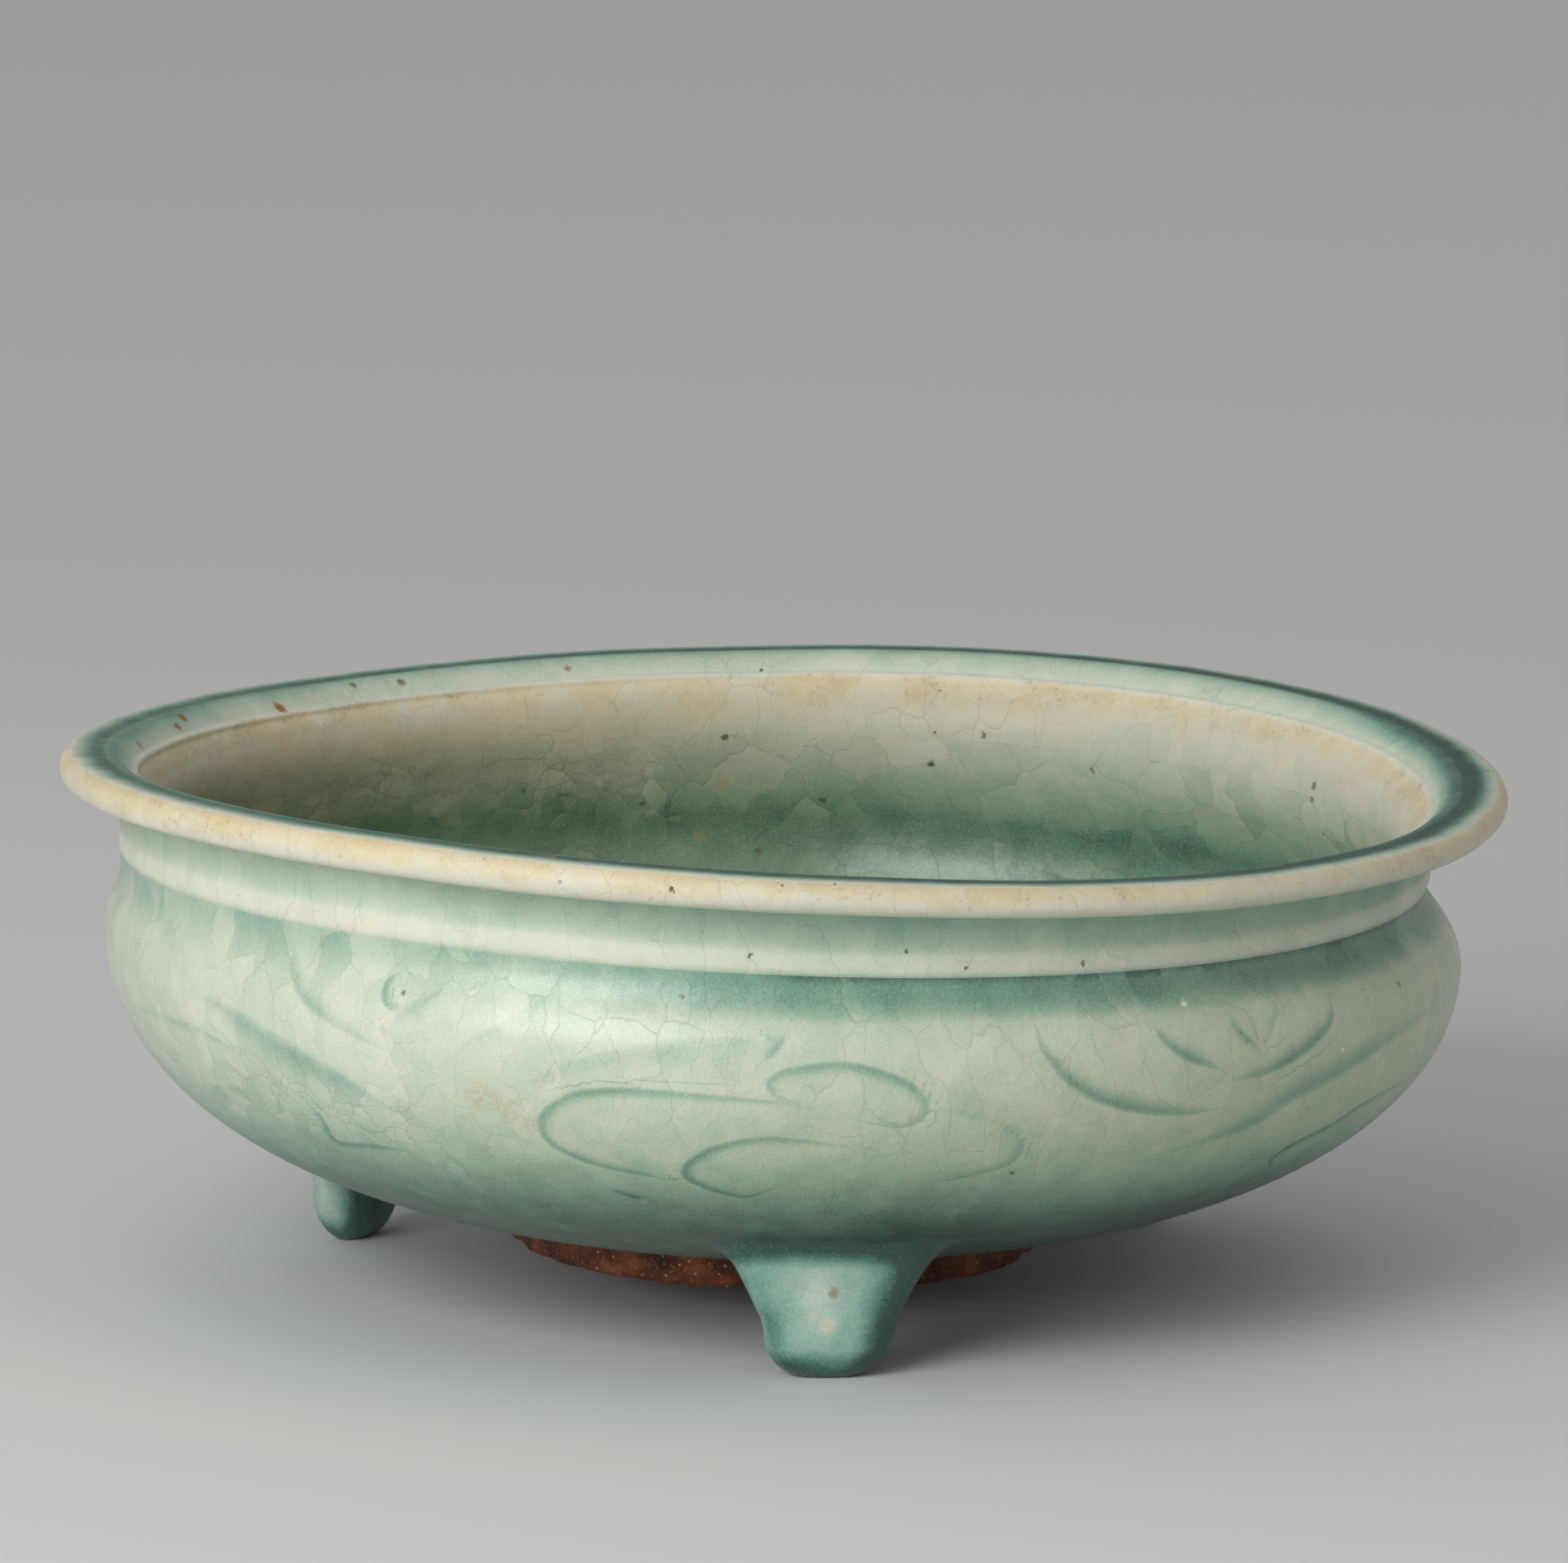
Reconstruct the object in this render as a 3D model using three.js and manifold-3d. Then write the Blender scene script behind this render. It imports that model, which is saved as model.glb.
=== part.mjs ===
// A celadon tripod incense burner: a wide, shallow thrown bowl on three short applied legs.
// Millimetres, +Z up. The three feet stand on Z = 0 and the bowl's axis is the Z axis.
// The front leg is on the -Y side. The pieces are the ones that the potter makes and lutes together.

import * as THREE from 'three';
import { mergeVertices } from 'three/addons/utils/BufferGeometryUtils.js';
import Module from 'manifold-3d';

const wasm = await Module();
wasm.setup();

// The clearance that is left where two pieces are luted together.
const JOINT_GAP = 0.3;

// The belly: a thrown bowl, widest at the belly line.
const GROUND_CLEARANCE = 10.1;
const BELLY_RADIUS = 112.7;
const BELLY_DEPTH = 46.9;
const BELLY_FULLNESS = 2.6;
const BELLY_WALL = 5.9;
const BASE_THICKNESS = 8.5;

// The shoulder: an S curve, hollow under the seam and full above the belly line.
const SHOULDER_RISE = 13.8;
const SHOULDER_INSET = 4.3;
const HOLLOW_DEPTH = 0.5;
const HOLLOW_HEIGHT = 5.6;
const FULL_HEIGHT = 7;

// The rim collar: the neck ring with its everted lip, on a stepped seam at the top of the shoulder.
// The lip is flat outside and slopes down to the mouth inside.
const NECK_WALL = 5.4;
const NECK_HEIGHT = 11.4;
const NECK_SWELL = 0.7;
const RIDGE_PROUD = 0.4;
const RIDGE_HEIGHT = 5.2;
const LIP_OVERHANG = 10.9;
const LIP_THICKNESS = 5.4;
const LIP_FILLET = 4;
const LIP_FLAT = 4.8;
const LIP_CROWN = 2;
const LIP_LEDGE = 13.1;
const MOUTH_DROP = 3.1;
const MOUTH_EDGE_RADIUS = 1.2;
const TONGUE_HEIGHT = 3.5;
const TONGUE_THICKNESS = 2.4;

// The rim sagged in the kiln: it is high at the front left and the back right by this much.
const SAG = 1.85;
const SAG_ANGLE = THREE.MathUtils.degToRad(53);

// The bowl leans towards +X on its legs, which are not quite of one length.
const BOWL_LEAN = THREE.MathUtils.degToRad(1.1);

// The bowl isn't quite true: its middle at each height lies this far towards +X, as [height, distance].
const DRIFT = [[22, 0], [34, 0.55], [44, 0.8], [57, 0.55], [64, -0.2], [69, -1.3], [80, -1.1], [84, 0]];

// The disc that closes the floor, dropped into a rebate from inside.
const DISC_RADIUS = 40;
const DISC_THICKNESS = 5;
const DISC_CHAMFER = 0.8;
const LEDGE_WIDTH = 6;

// The unglazed foot ring, turned and luted under the belly. It hangs clear of the ground.
const FOOT_RING_RADIUS = 44;
const FOOT_RING_WIDTH = 7;
const FOOT_RING_HEIGHT = 5.7;
const FOOT_RING_TAPER = 0.9;

// The legs: oval in section, wider along the bowl's edge than across it, with a rounded toe.
// The outer face leans back above the toe, so the section is flatter on that side at the top.
const LEG_CIRCLE_RADIUS = 79.2;
const FRONT_LEG_TURN = THREE.MathUtils.degToRad(5.5);
const REAR_RIGHT_STRAY = THREE.MathUtils.degToRad(7);
const LEG_HALF_WIDTH = 10.6;
const LEG_DEPTH_SHARE = 0.6;
const LEG_TOP_SHARE = 0.1;
const LEG_FLARE = 0.11;
const TOE_HEIGHT = 6.5;
const SOLE_HALF_WIDTH = 4.6;
const FACE_HEIGHT = 16;

// The coil of soft clay that is smoothed round each leg's root, which makes the flare under the belly.
const COIL_START = 9;
const COIL_EDGE = 1.2;
const COIL_SPREAD = 0.115;
const COIL_CURVE = 1.5;
const COIL_TOP_SHARE = 0.17;
const COIL_EMBED = 3;

// How finely the round shapes are divided.
const BOWL_SIDES = 60;
const LEG_SIDES = 24;
const BELLY_STEPS = 9;
const SHOULDER_STEPS = 5;
const CURVE_STEPS = 3;
const TOE_STEPS = 4;
const COIL_STEPS = 5;

// Heights and radii that follow from the sizes above.
const bellyLine = GROUND_CLEARANCE + BELLY_DEPTH;
const seamHeight = bellyLine + SHOULDER_RISE;
const seamRadius = BELLY_RADIUS - SHOULDER_INSET;
const neckRadius = seamRadius + NECK_SWELL;
const rimRadius = neckRadius + LIP_OVERHANG;
const lipUnderside = seamHeight + NECK_HEIGHT;
const lipHeight = lipUnderside + LIP_THICKNESS / 2;
const tongueRadius = seamRadius - NECK_WALL + TONGUE_THICKNESS;

// Height of a bowl curve with its pole `depth` under the belly line, at the given distance from the axis.
function bowlHeight(radius, fullRadius, depth) {
  const share = Math.min(radius / fullRadius, 1);
  return bellyLine - depth * Math.sqrt(1 - share ** BELLY_FULLNESS);
}

const undersideAt = (radius) => bowlHeight(radius, BELLY_RADIUS, BELLY_DEPTH);
const insideAt = (radius) => bowlHeight(radius, BELLY_RADIUS - BELLY_WALL, BELLY_DEPTH - BASE_THICKNESS);

// The points of that bowl curve from `startRadius` out to the belly line.
function bowlCurve(startRadius, fullRadius, depth, steps) {
  const start = Math.asin((startRadius / fullRadius) ** (BELLY_FULLNESS / 2));
  const points = [];
  for (let i = 0; i <= steps; i += 1) {
    const angle = THREE.MathUtils.lerp(start, Math.PI / 2, i / steps);
    const radius = fullRadius * Math.sin(angle) ** (2 / BELLY_FULLNESS);
    points.push(new THREE.Vector2(radius, bellyLine - depth * Math.cos(angle)));
  }
  return points;
}

// The shoulder's outside from the belly line up to the seam, without its first point.
function shoulderCurve() {
  const curve = new THREE.CubicBezierCurve(
    new THREE.Vector2(BELLY_RADIUS, bellyLine),
    new THREE.Vector2(BELLY_RADIUS, bellyLine + FULL_HEIGHT),
    new THREE.Vector2(seamRadius - HOLLOW_DEPTH, seamHeight - HOLLOW_HEIGHT),
    new THREE.Vector2(seamRadius, seamHeight),
  );
  return curve.getPoints(SHOULDER_STEPS).slice(1);
}

// The shoulder's inside from the belly line up to the tongue's top, upright at both ends and
// without its end points.
function innerShoulderCurve(fullRadius, topRadius) {
  const top = seamHeight + TONGUE_HEIGHT;
  const middle = (bellyLine + top) / 2;
  const curve = new THREE.CubicBezierCurve(
    new THREE.Vector2(fullRadius, bellyLine),
    new THREE.Vector2(fullRadius, middle),
    new THREE.Vector2(topRadius, middle),
    new THREE.Vector2(topRadius, top),
  );
  return curve.getPoints(SHOULDER_STEPS).slice(1, -1);
}

// A solid of revolution about +Z from a profile of (radius, height) points that closes on the axis
// or on itself, with its shared vertices merged and its empty triangles left out.
function revolve(profile, sides) {
  const lathe = new THREE.LatheGeometry(profile, sides);
  lathe.rotateX(Math.PI / 2);
  lathe.deleteAttribute('normal');
  lathe.deleteAttribute('uv');
  const merged = mergeVertices(lathe, 1e-4);
  const corners = merged.index.array;
  const kept = [];
  for (let i = 0; i < corners.length; i += 3) {
    const [a, b, c] = corners.slice(i, i + 3);
    if (a !== b && b !== c && c !== a) kept.push(a, b, c);
  }
  merged.setIndex(kept);
  return merged;
}

// A ring whose profile doesn't touch the axis: the profile is closed on its first point.
function revolveRing(profile) {
  return revolve([...profile, profile[0].clone()], BOWL_SIDES);
}

// How far the bowl's middle has drifted towards +X at a height.
function driftAt(height) {
  let [low, drift] = DRIFT[0];
  for (const [high, next] of DRIFT.slice(1)) {
    if (height < high) return THREE.MathUtils.mapLinear(Math.max(height, low), low, high, drift, next);
    [low, drift] = [high, next];
  }
  return drift;
}

// Gives a geometry's points the bowl's drift, and moves them up or down as the rim sagged: nothing at
// the belly line, all of it at the lip.
function warp(geometry) {
  const position = geometry.attributes.position;
  for (let i = 0; i < position.count; i += 1) {
    const height = position.getZ(i);
    const share = Math.max((height - bellyLine) / (lipHeight - bellyLine), 0);
    const angle = Math.atan2(position.getY(i), position.getX(i));
    position.setX(i, position.getX(i) + driftAt(height));
    position.setZ(i, height + SAG * share * Math.cos(2 * (angle - SAG_ANGLE)));
  }
  return geometry;
}

function solidFrom(geometry) {
  return new wasm.Manifold(new wasm.Mesh({
    numProp: 3,
    vertProperties: new Float32Array(geometry.attributes.position.array),
    triVerts: new Uint32Array(geometry.index.array),
  }));
}

function geometryFrom(solid) {
  const mesh = solid.getMesh();
  const geometry = new THREE.BufferGeometry();
  geometry.setAttribute('position', new THREE.BufferAttribute(mesh.vertProperties, mesh.numProp));
  geometry.setIndex(new THREE.BufferAttribute(mesh.triVerts, 1));
  return geometry;
}

function bellyProfile() {
  const inner = BELLY_RADIUS - BELLY_WALL;
  const ledge = DISC_RADIUS - LEDGE_WIDTH;
  const rebate = DISC_RADIUS + JOINT_GAP;
  const ledgeHeight = insideAt(DISC_RADIUS) - DISC_THICKNESS - JOINT_GAP;
  const outside = bowlCurve(ledge, BELLY_RADIUS, BELLY_DEPTH, BELLY_STEPS);
  const shoulder = shoulderCurve();
  const tongue = [
    new THREE.Vector2(tongueRadius, seamHeight),
    new THREE.Vector2(tongueRadius, seamHeight + TONGUE_HEIGHT),
    new THREE.Vector2(seamRadius - NECK_WALL, seamHeight + TONGUE_HEIGHT),
  ];
  const innerShoulder = innerShoulderCurve(inner, seamRadius - NECK_WALL).reverse();
  const inside = bowlCurve(rebate, inner, BELLY_DEPTH - BASE_THICKNESS, BELLY_STEPS).reverse();
  const seat = [new THREE.Vector2(rebate, ledgeHeight), new THREE.Vector2(ledge, ledgeHeight)];
  return [...outside, ...shoulder, ...tongue, ...innerShoulder, ...inside, ...seat];
}

function rimCollarProfile() {
  const bottom = seamHeight + JOINT_GAP;
  const ridgeTop = bottom + RIDGE_HEIGHT;
  const lipCentre = rimRadius - LIP_THICKNESS / 2;
  const lipTop = lipUnderside + LIP_THICKNESS;
  const crown = lipCentre - LIP_FLAT;
  const fillet = Math.min(LIP_FILLET, NECK_HEIGHT - RIDGE_HEIGHT - JOINT_GAP, lipCentre - neckRadius);
  const mouth = rimRadius - LIP_LEDGE;
  const mouthHeight = lipTop - MOUTH_DROP;
  const inner = seamRadius - NECK_WALL;
  const stepTop = seamHeight + TONGUE_HEIGHT + JOINT_GAP;
  const outline = new THREE.Path();
  outline.moveTo(seamRadius, bottom);
  outline.quadraticCurveTo(neckRadius + 2 * RIDGE_PROUD, bottom + RIDGE_HEIGHT / 2, neckRadius, ridgeTop);
  outline.lineTo(neckRadius, lipUnderside - fillet);
  outline.quadraticCurveTo(neckRadius, lipUnderside, neckRadius + fillet, lipUnderside);
  outline.absarc(lipCentre, lipHeight, LIP_THICKNESS / 2, -Math.PI / 2, Math.PI / 2);
  outline.lineTo(crown, lipTop);
  outline.quadraticCurveTo(crown - LIP_CROWN, lipTop, mouth + MOUTH_EDGE_RADIUS, mouthHeight);
  outline.quadraticCurveTo(mouth, mouthHeight, mouth, mouthHeight - MOUTH_EDGE_RADIUS);
  outline.quadraticCurveTo(inner, (mouthHeight + stepTop) / 2, inner, stepTop);
  outline.lineTo(tongueRadius + JOINT_GAP, stepTop);
  outline.lineTo(tongueRadius + JOINT_GAP, bottom);
  return outline.getPoints(CURVE_STEPS);
}

function floorDiscProfile() {
  const top = insideAt(DISC_RADIUS);
  const bottom = top - DISC_THICKNESS;
  return [
    new THREE.Vector2(0, bottom),
    new THREE.Vector2(DISC_RADIUS - DISC_CHAMFER, bottom),
    new THREE.Vector2(DISC_RADIUS, bottom + DISC_CHAMFER),
    new THREE.Vector2(DISC_RADIUS, top),
    new THREE.Vector2(0, top),
  ];
}

function footRingProfile() {
  const inner = FOOT_RING_RADIUS - FOOT_RING_WIDTH;
  const middle = FOOT_RING_RADIUS - FOOT_RING_WIDTH / 2;
  const bottom = undersideAt(FOOT_RING_RADIUS) - FOOT_RING_HEIGHT;
  const shoulder = bottom + FOOT_RING_TAPER * 2;
  return [
    new THREE.Vector2(inner + FOOT_RING_TAPER, bottom),
    new THREE.Vector2(FOOT_RING_RADIUS - FOOT_RING_TAPER, bottom),
    new THREE.Vector2(FOOT_RING_RADIUS, shoulder),
    new THREE.Vector2(FOOT_RING_RADIUS, undersideAt(FOOT_RING_RADIUS) - JOINT_GAP),
    new THREE.Vector2(middle, undersideAt(middle) - JOINT_GAP),
    new THREE.Vector2(inner, undersideAt(inner) - JOINT_GAP),
    new THREE.Vector2(inner, shoulder),
  ];
}

// The bowl's outside as a filled solid, grown by the luting gap, which trims what meets it from below.
function bellyCutter() {
  const outside = bowlCurve(0, BELLY_RADIUS + JOINT_GAP, BELLY_DEPTH + JOINT_GAP, BELLY_STEPS * 2);
  const filled = revolve([...outside, new THREE.Vector2(0, bellyLine)], BOWL_SIDES);
  return solidFrom(warp(filled).applyMatrix4(bowl.matrix));
}

// Half the leg's width along the bowl's edge, at a height above the ground.
function legHalfWidth(height) {
  if (height >= TOE_HEIGHT) return LEG_HALF_WIDTH + LEG_FLARE * (height - TOE_HEIGHT);
  const drop = 1 - height / TOE_HEIGHT;
  return SOLE_HALF_WIDTH + (LEG_HALF_WIDTH - SOLE_HALF_WIDTH) * Math.sqrt(1 - drop * drop);
}

// The leg stands on the ground and is long enough to reach inside the bowl's solid, where it is trimmed.
function legProfile(grow) {
  const top = undersideAt(LEG_CIRCLE_RADIUS + LEG_HALF_WIDTH) + LEG_HALF_WIDTH / 2;
  const points = [new THREE.Vector2(0, -grow)];
  for (let i = 0; i <= TOE_STEPS; i += 1) {
    const height = TOE_HEIGHT * (1 - Math.cos((i / TOE_STEPS) * (Math.PI / 2)));
    points.push(new THREE.Vector2(legHalfWidth(height) + grow, height - grow * (1 - i / TOE_STEPS)));
  }
  for (const height of [TOE_HEIGHT + FACE_HEIGHT, top + grow]) {
    points.push(new THREE.Vector2(legHalfWidth(height) + grow, height));
  }
  points.push(new THREE.Vector2(0, top + grow));
  return points;
}

// The coil widens as it rises, and runs a little way into the bowl's solid, where it is trimmed.
function coilProfile() {
  const top = undersideAt(LEG_CIRCLE_RADIUS) + COIL_EMBED;
  const points = [new THREE.Vector2(0, COIL_START)];
  for (let i = 0; i <= COIL_STEPS; i += 1) {
    const height = THREE.MathUtils.lerp(COIL_START, top, i / COIL_STEPS);
    const spread = COIL_SPREAD * (height - COIL_START) ** COIL_CURVE;
    points.push(new THREE.Vector2(legHalfWidth(height) + COIL_EDGE + spread, height));
  }
  points.push(new THREE.Vector2(0, top));
  return points;
}

// A leg-shaped solid, oval and upright, at the front of the leg circle. Its depth is a share of its
// width, and on the outer side the share falls to `topShare` above the toe.
function frontShape(profile, topShare) {
  const geometry = revolve(profile, LEG_SIDES);
  const position = geometry.attributes.position;
  for (let i = 0; i < position.count; i += 1) {
    const up = THREE.MathUtils.clamp((position.getZ(i) - TOE_HEIGHT) / FACE_HEIGHT, 0, 1);
    const outer = THREE.MathUtils.lerp(LEG_DEPTH_SHARE, topShare, up);
    position.setY(i, position.getY(i) * (position.getY(i) < 0 ? outer : LEG_DEPTH_SHARE));
  }
  geometry.translate(0, -LEG_CIRCLE_RADIUS, 0);
  return geometry;
}

// Bends a front shape's upper part to the slope of the bowl's underside, so that it flares evenly all round.
function followUnderside(geometry) {
  const position = geometry.attributes.position;
  const levelTop = undersideAt(LEG_CIRCLE_RADIUS);
  for (let i = 0; i < position.count; i += 1) {
    const share = (position.getZ(i) - COIL_START) / (levelTop - COIL_START);
    const radius = Math.hypot(position.getX(i), position.getY(i));
    position.setZ(i, position.getZ(i) + share * (undersideAt(radius) - levelTop));
  }
  return geometry;
}

const glaze = (colour) => new THREE.MeshStandardMaterial({ color: colour, roughness: 0.32, metalness: 0 });
const bareClay = new THREE.MeshStandardMaterial({ color: 0x7a3f27, roughness: 0.85, metalness: 0 });

const part = new THREE.Group();

// The bowl's own group: it leans about the middle of its rim, which stays on the Z axis.
const bowl = new THREE.Group();
bowl.rotation.y = BOWL_LEAN;
bowl.position.set(-lipHeight * Math.sin(BOWL_LEAN), 0, lipHeight * (1 - Math.cos(BOWL_LEAN)));
bowl.updateMatrix();
part.add(bowl);

function addPiece(parent, name, geometry, material) {
  geometry.computeVertexNormals();
  const piece = new THREE.Mesh(geometry, material);
  piece.name = name;
  parent.add(piece);
}

addPiece(bowl, 'belly', warp(revolveRing(bellyProfile())), glaze(0xbfd3c4));
addPiece(bowl, 'rim_collar', warp(revolveRing(rimCollarProfile())), glaze(0xa9c9bf));
addPiece(bowl, 'floor_disc', revolve(floorDiscProfile(), BOWL_SIDES), glaze(0x9dbfb0));
addPiece(bowl, 'foot_ring', revolveRing(footRingProfile()), bareClay);

// The legs stand a third of a turn apart, but the rear right one strays towards the back.
// Each leg and coil is trimmed by the leaning bowl.
const cutter = bellyCutter();
const thirdTurn = (2 * Math.PI) / 3;
const places = [
  ['front', FRONT_LEG_TURN],
  ['rear_left', FRONT_LEG_TURN - thirdTurn],
  ['rear_right', FRONT_LEG_TURN + thirdTurn + REAR_RIGHT_STRAY],
];
for (const [place, turn] of places) {
  const leg = solidFrom(frontShape(legProfile(0), LEG_TOP_SHARE).rotateZ(turn)).subtract(cutter);
  const roomProfile = legProfile(JOINT_GAP / LEG_DEPTH_SHARE);
  const roomTopShare = LEG_TOP_SHARE + JOINT_GAP / LEG_HALF_WIDTH;
  const legRoom = solidFrom(frontShape(roomProfile, roomTopShare).rotateZ(turn));
  const coilForm = followUnderside(frontShape(coilProfile(), COIL_TOP_SHARE));
  const wholeCoil = solidFrom(coilForm.rotateZ(turn));
  const coil = wholeCoil.subtract(cutter).subtract(legRoom);
  addPiece(part, `leg_${place}`, geometryFrom(leg), glaze(0x8fb9b2));
  addPiece(part, `luting_coil_${place}`, geometryFrom(coil), glaze(0x86b0a6));
}

export default part;
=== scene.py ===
import math

import bpy
import numpy as np
from mathutils import Matrix, Vector, noise


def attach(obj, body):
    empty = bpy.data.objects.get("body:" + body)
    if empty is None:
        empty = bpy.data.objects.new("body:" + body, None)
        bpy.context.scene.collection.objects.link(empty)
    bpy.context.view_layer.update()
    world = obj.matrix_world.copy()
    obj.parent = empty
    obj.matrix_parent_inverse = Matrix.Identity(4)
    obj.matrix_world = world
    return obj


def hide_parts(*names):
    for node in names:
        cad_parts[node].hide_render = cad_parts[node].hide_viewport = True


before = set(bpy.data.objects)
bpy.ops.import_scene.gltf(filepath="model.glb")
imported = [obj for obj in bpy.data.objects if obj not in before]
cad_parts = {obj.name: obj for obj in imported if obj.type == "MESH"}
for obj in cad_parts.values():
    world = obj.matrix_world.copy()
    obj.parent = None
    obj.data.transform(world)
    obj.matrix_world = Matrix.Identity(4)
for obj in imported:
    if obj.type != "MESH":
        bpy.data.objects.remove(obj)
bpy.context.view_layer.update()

# Every size is in metres, and MM turns the potter's millimetres into them.
MM = 0.001

# The bowl's own sizes. It is thrown upright and then leans a little on its legs.
GROUND_CLEARANCE = 10.1 * MM
BELLY_RADIUS = 112.7 * MM
BELLY_DEPTH = 46.9 * MM
BELLY_FULLNESS = 2.6
BELLY_WALL = 5.9 * MM
BASE_THICKNESS = 8.5 * MM
SHOULDER_RISE = 13.8 * MM
SHOULDER_INSET = 4.3 * MM
HOLLOW_DEPTH = 0.5 * MM
HOLLOW_HEIGHT = 5.6 * MM
FULL_HEIGHT = 7 * MM
NECK_WALL = 5.4 * MM
NECK_HEIGHT = 11.4 * MM
LIP_OVERHANG = 11.6 * MM
LIP_THICKNESS = 5.4 * MM
LIP_FLAT = 4.8 * MM
LIP_CROWN = 2 * MM
LIP_LEDGE = 13.1 * MM
MOUTH_DROP = 3.1 * MM
MOUTH_EDGE_RADIUS = 1.2 * MM
TONGUE_HEIGHT = 3.65 * MM
TONGUE_THICKNESS = 2.55 * MM
SAG = 1.85 * MM
SAG_ANGLE = math.radians(53)
BOWL_LEAN = math.radians(1.1)

# The neck from its foot over the ends of its crown to under the lip: (mm outwards, mm up) from the seam.
NECK_LINE = [(0, 0), (0.45, 2.6), (0.4, 6), (0.65, 8.6)]
LIP_FILLET = 4.8 * MM

# The bowl isn't quite true: its middle at each height (mm) lies this far (mm) towards +X.
DRIFT_HEIGHTS = (22, 34, 44, 57, 64, 69, 80, 84)
DRIFT = (0, 0.55, 0.8, 0.55, -0.2, -1.3, -1.1, 0)

# How its walls swell by hand, in layers: (size of the lumps in mm, height in mm, seed).
BELLY_SWELL = [(45, 0.25, 1), (16, 0.06, 2)]
LIP_SWELL = [(38, 0.3, 3), (9, 0.07, 4)]
LIP_WAVE = [(30, 0.18, 5)]
FLOOR_SWELL = [(14, 0.12, 6)]
RING_SWELL = [(2.6, 0.12, 9)]
LEG_SWELL = [(9, 0.35, 11)]

# The closing disc and the foot ring.
DISC_RADIUS = 40.15 * MM
DISC_THICKNESS = 5 * MM
LEDGE_RADIUS = 34 * MM
FOOT_RING_RADIUS = 44 * MM
FOOT_RING_WIDTH = 7 * MM
FOOT_RING_HEIGHT = 5.7 * MM
CHIP_HEIGHT = 0.8 * MM
CHIP_DEPTH = 0.5 * MM

# The legs and the clay that is smoothed round their roots.
LEG_CIRCLE_RADIUS = 79.2 * MM
LEG_HALF_WIDTH = 10.6 * MM
LEG_DEPTH_SHARE = 0.52
LEG_TOP_SHARE = 0.1
LEG_SQUARENESS = 2.4
ROOT_TOP_SHARE = 0.18
LEG_FLARE = 0.11
TOE_HEIGHT = 7.5 * MM
FACE_HEIGHT = 15 * MM
SOLE_HALF_WIDTH = 3.6 * MM
ROOT_START = 7 * MM
ROOT_EDGE = 0.7 * MM
ROOT_EASE = 5 * MM
ROOT_FLARE_START = 9 * MM
ROOT_SPREAD = 0.13
ROOT_FILLET = 3 * MM
ROOT_OVERLAP = 1.2 * MM
ROOT_LIFT_HEIGHT = 12 * MM
FRONT_LEG_TURN = math.radians(5.5)
THIRD_TURN = math.radians(120)
REAR_RIGHT_STRAY = math.radians(7)
LEG_TURNS = {
    "front": FRONT_LEG_TURN,
    "rear_left": FRONT_LEG_TURN - THIRD_TURN,
    "rear_right": FRONT_LEG_TURN + THIRD_TURN + REAR_RIGHT_STRAY,
}

# Heights and radii that follow.
BELLY_LINE = GROUND_CLEARANCE + BELLY_DEPTH
SEAM_HEIGHT = BELLY_LINE + SHOULDER_RISE
SEAM_RADIUS = BELLY_RADIUS - SHOULDER_INSET
RIM_RADIUS = SEAM_RADIUS + LIP_OVERHANG
LIP_UNDERSIDE = SEAM_HEIGHT + NECK_HEIGHT
LIP_HEIGHT = LIP_UNDERSIDE + LIP_THICKNESS / 2
INNER_NECK_RADIUS = SEAM_RADIUS - NECK_WALL
TONGUE_RADIUS = INNER_NECK_RADIUS + TONGUE_THICKNESS

# How many sides each turned piece has, and the angle past which its edge stays sharp.
SIDES = {"belly": 660, "rim_collar": 540, "floor_disc": 180, "foot_ring": 420}
LEG_SIDES = 144
SHARP_EDGE = math.radians(50)

# The photo's view: a long lens, a little above the rim, turned slightly about its own axis.
PHOTO_WIDTH = 1932
FOCAL_PIXELS = 17766.5
SENSOR_WIDTH = 36
CAMERA_DISTANCE = 2.4
CAMERA_RISE = 0.18492
CAMERA_AIM_HEIGHT = 0.042
CAMERA_PITCH = 0.16773
CAMERA_ROLL = 0.02491

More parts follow.
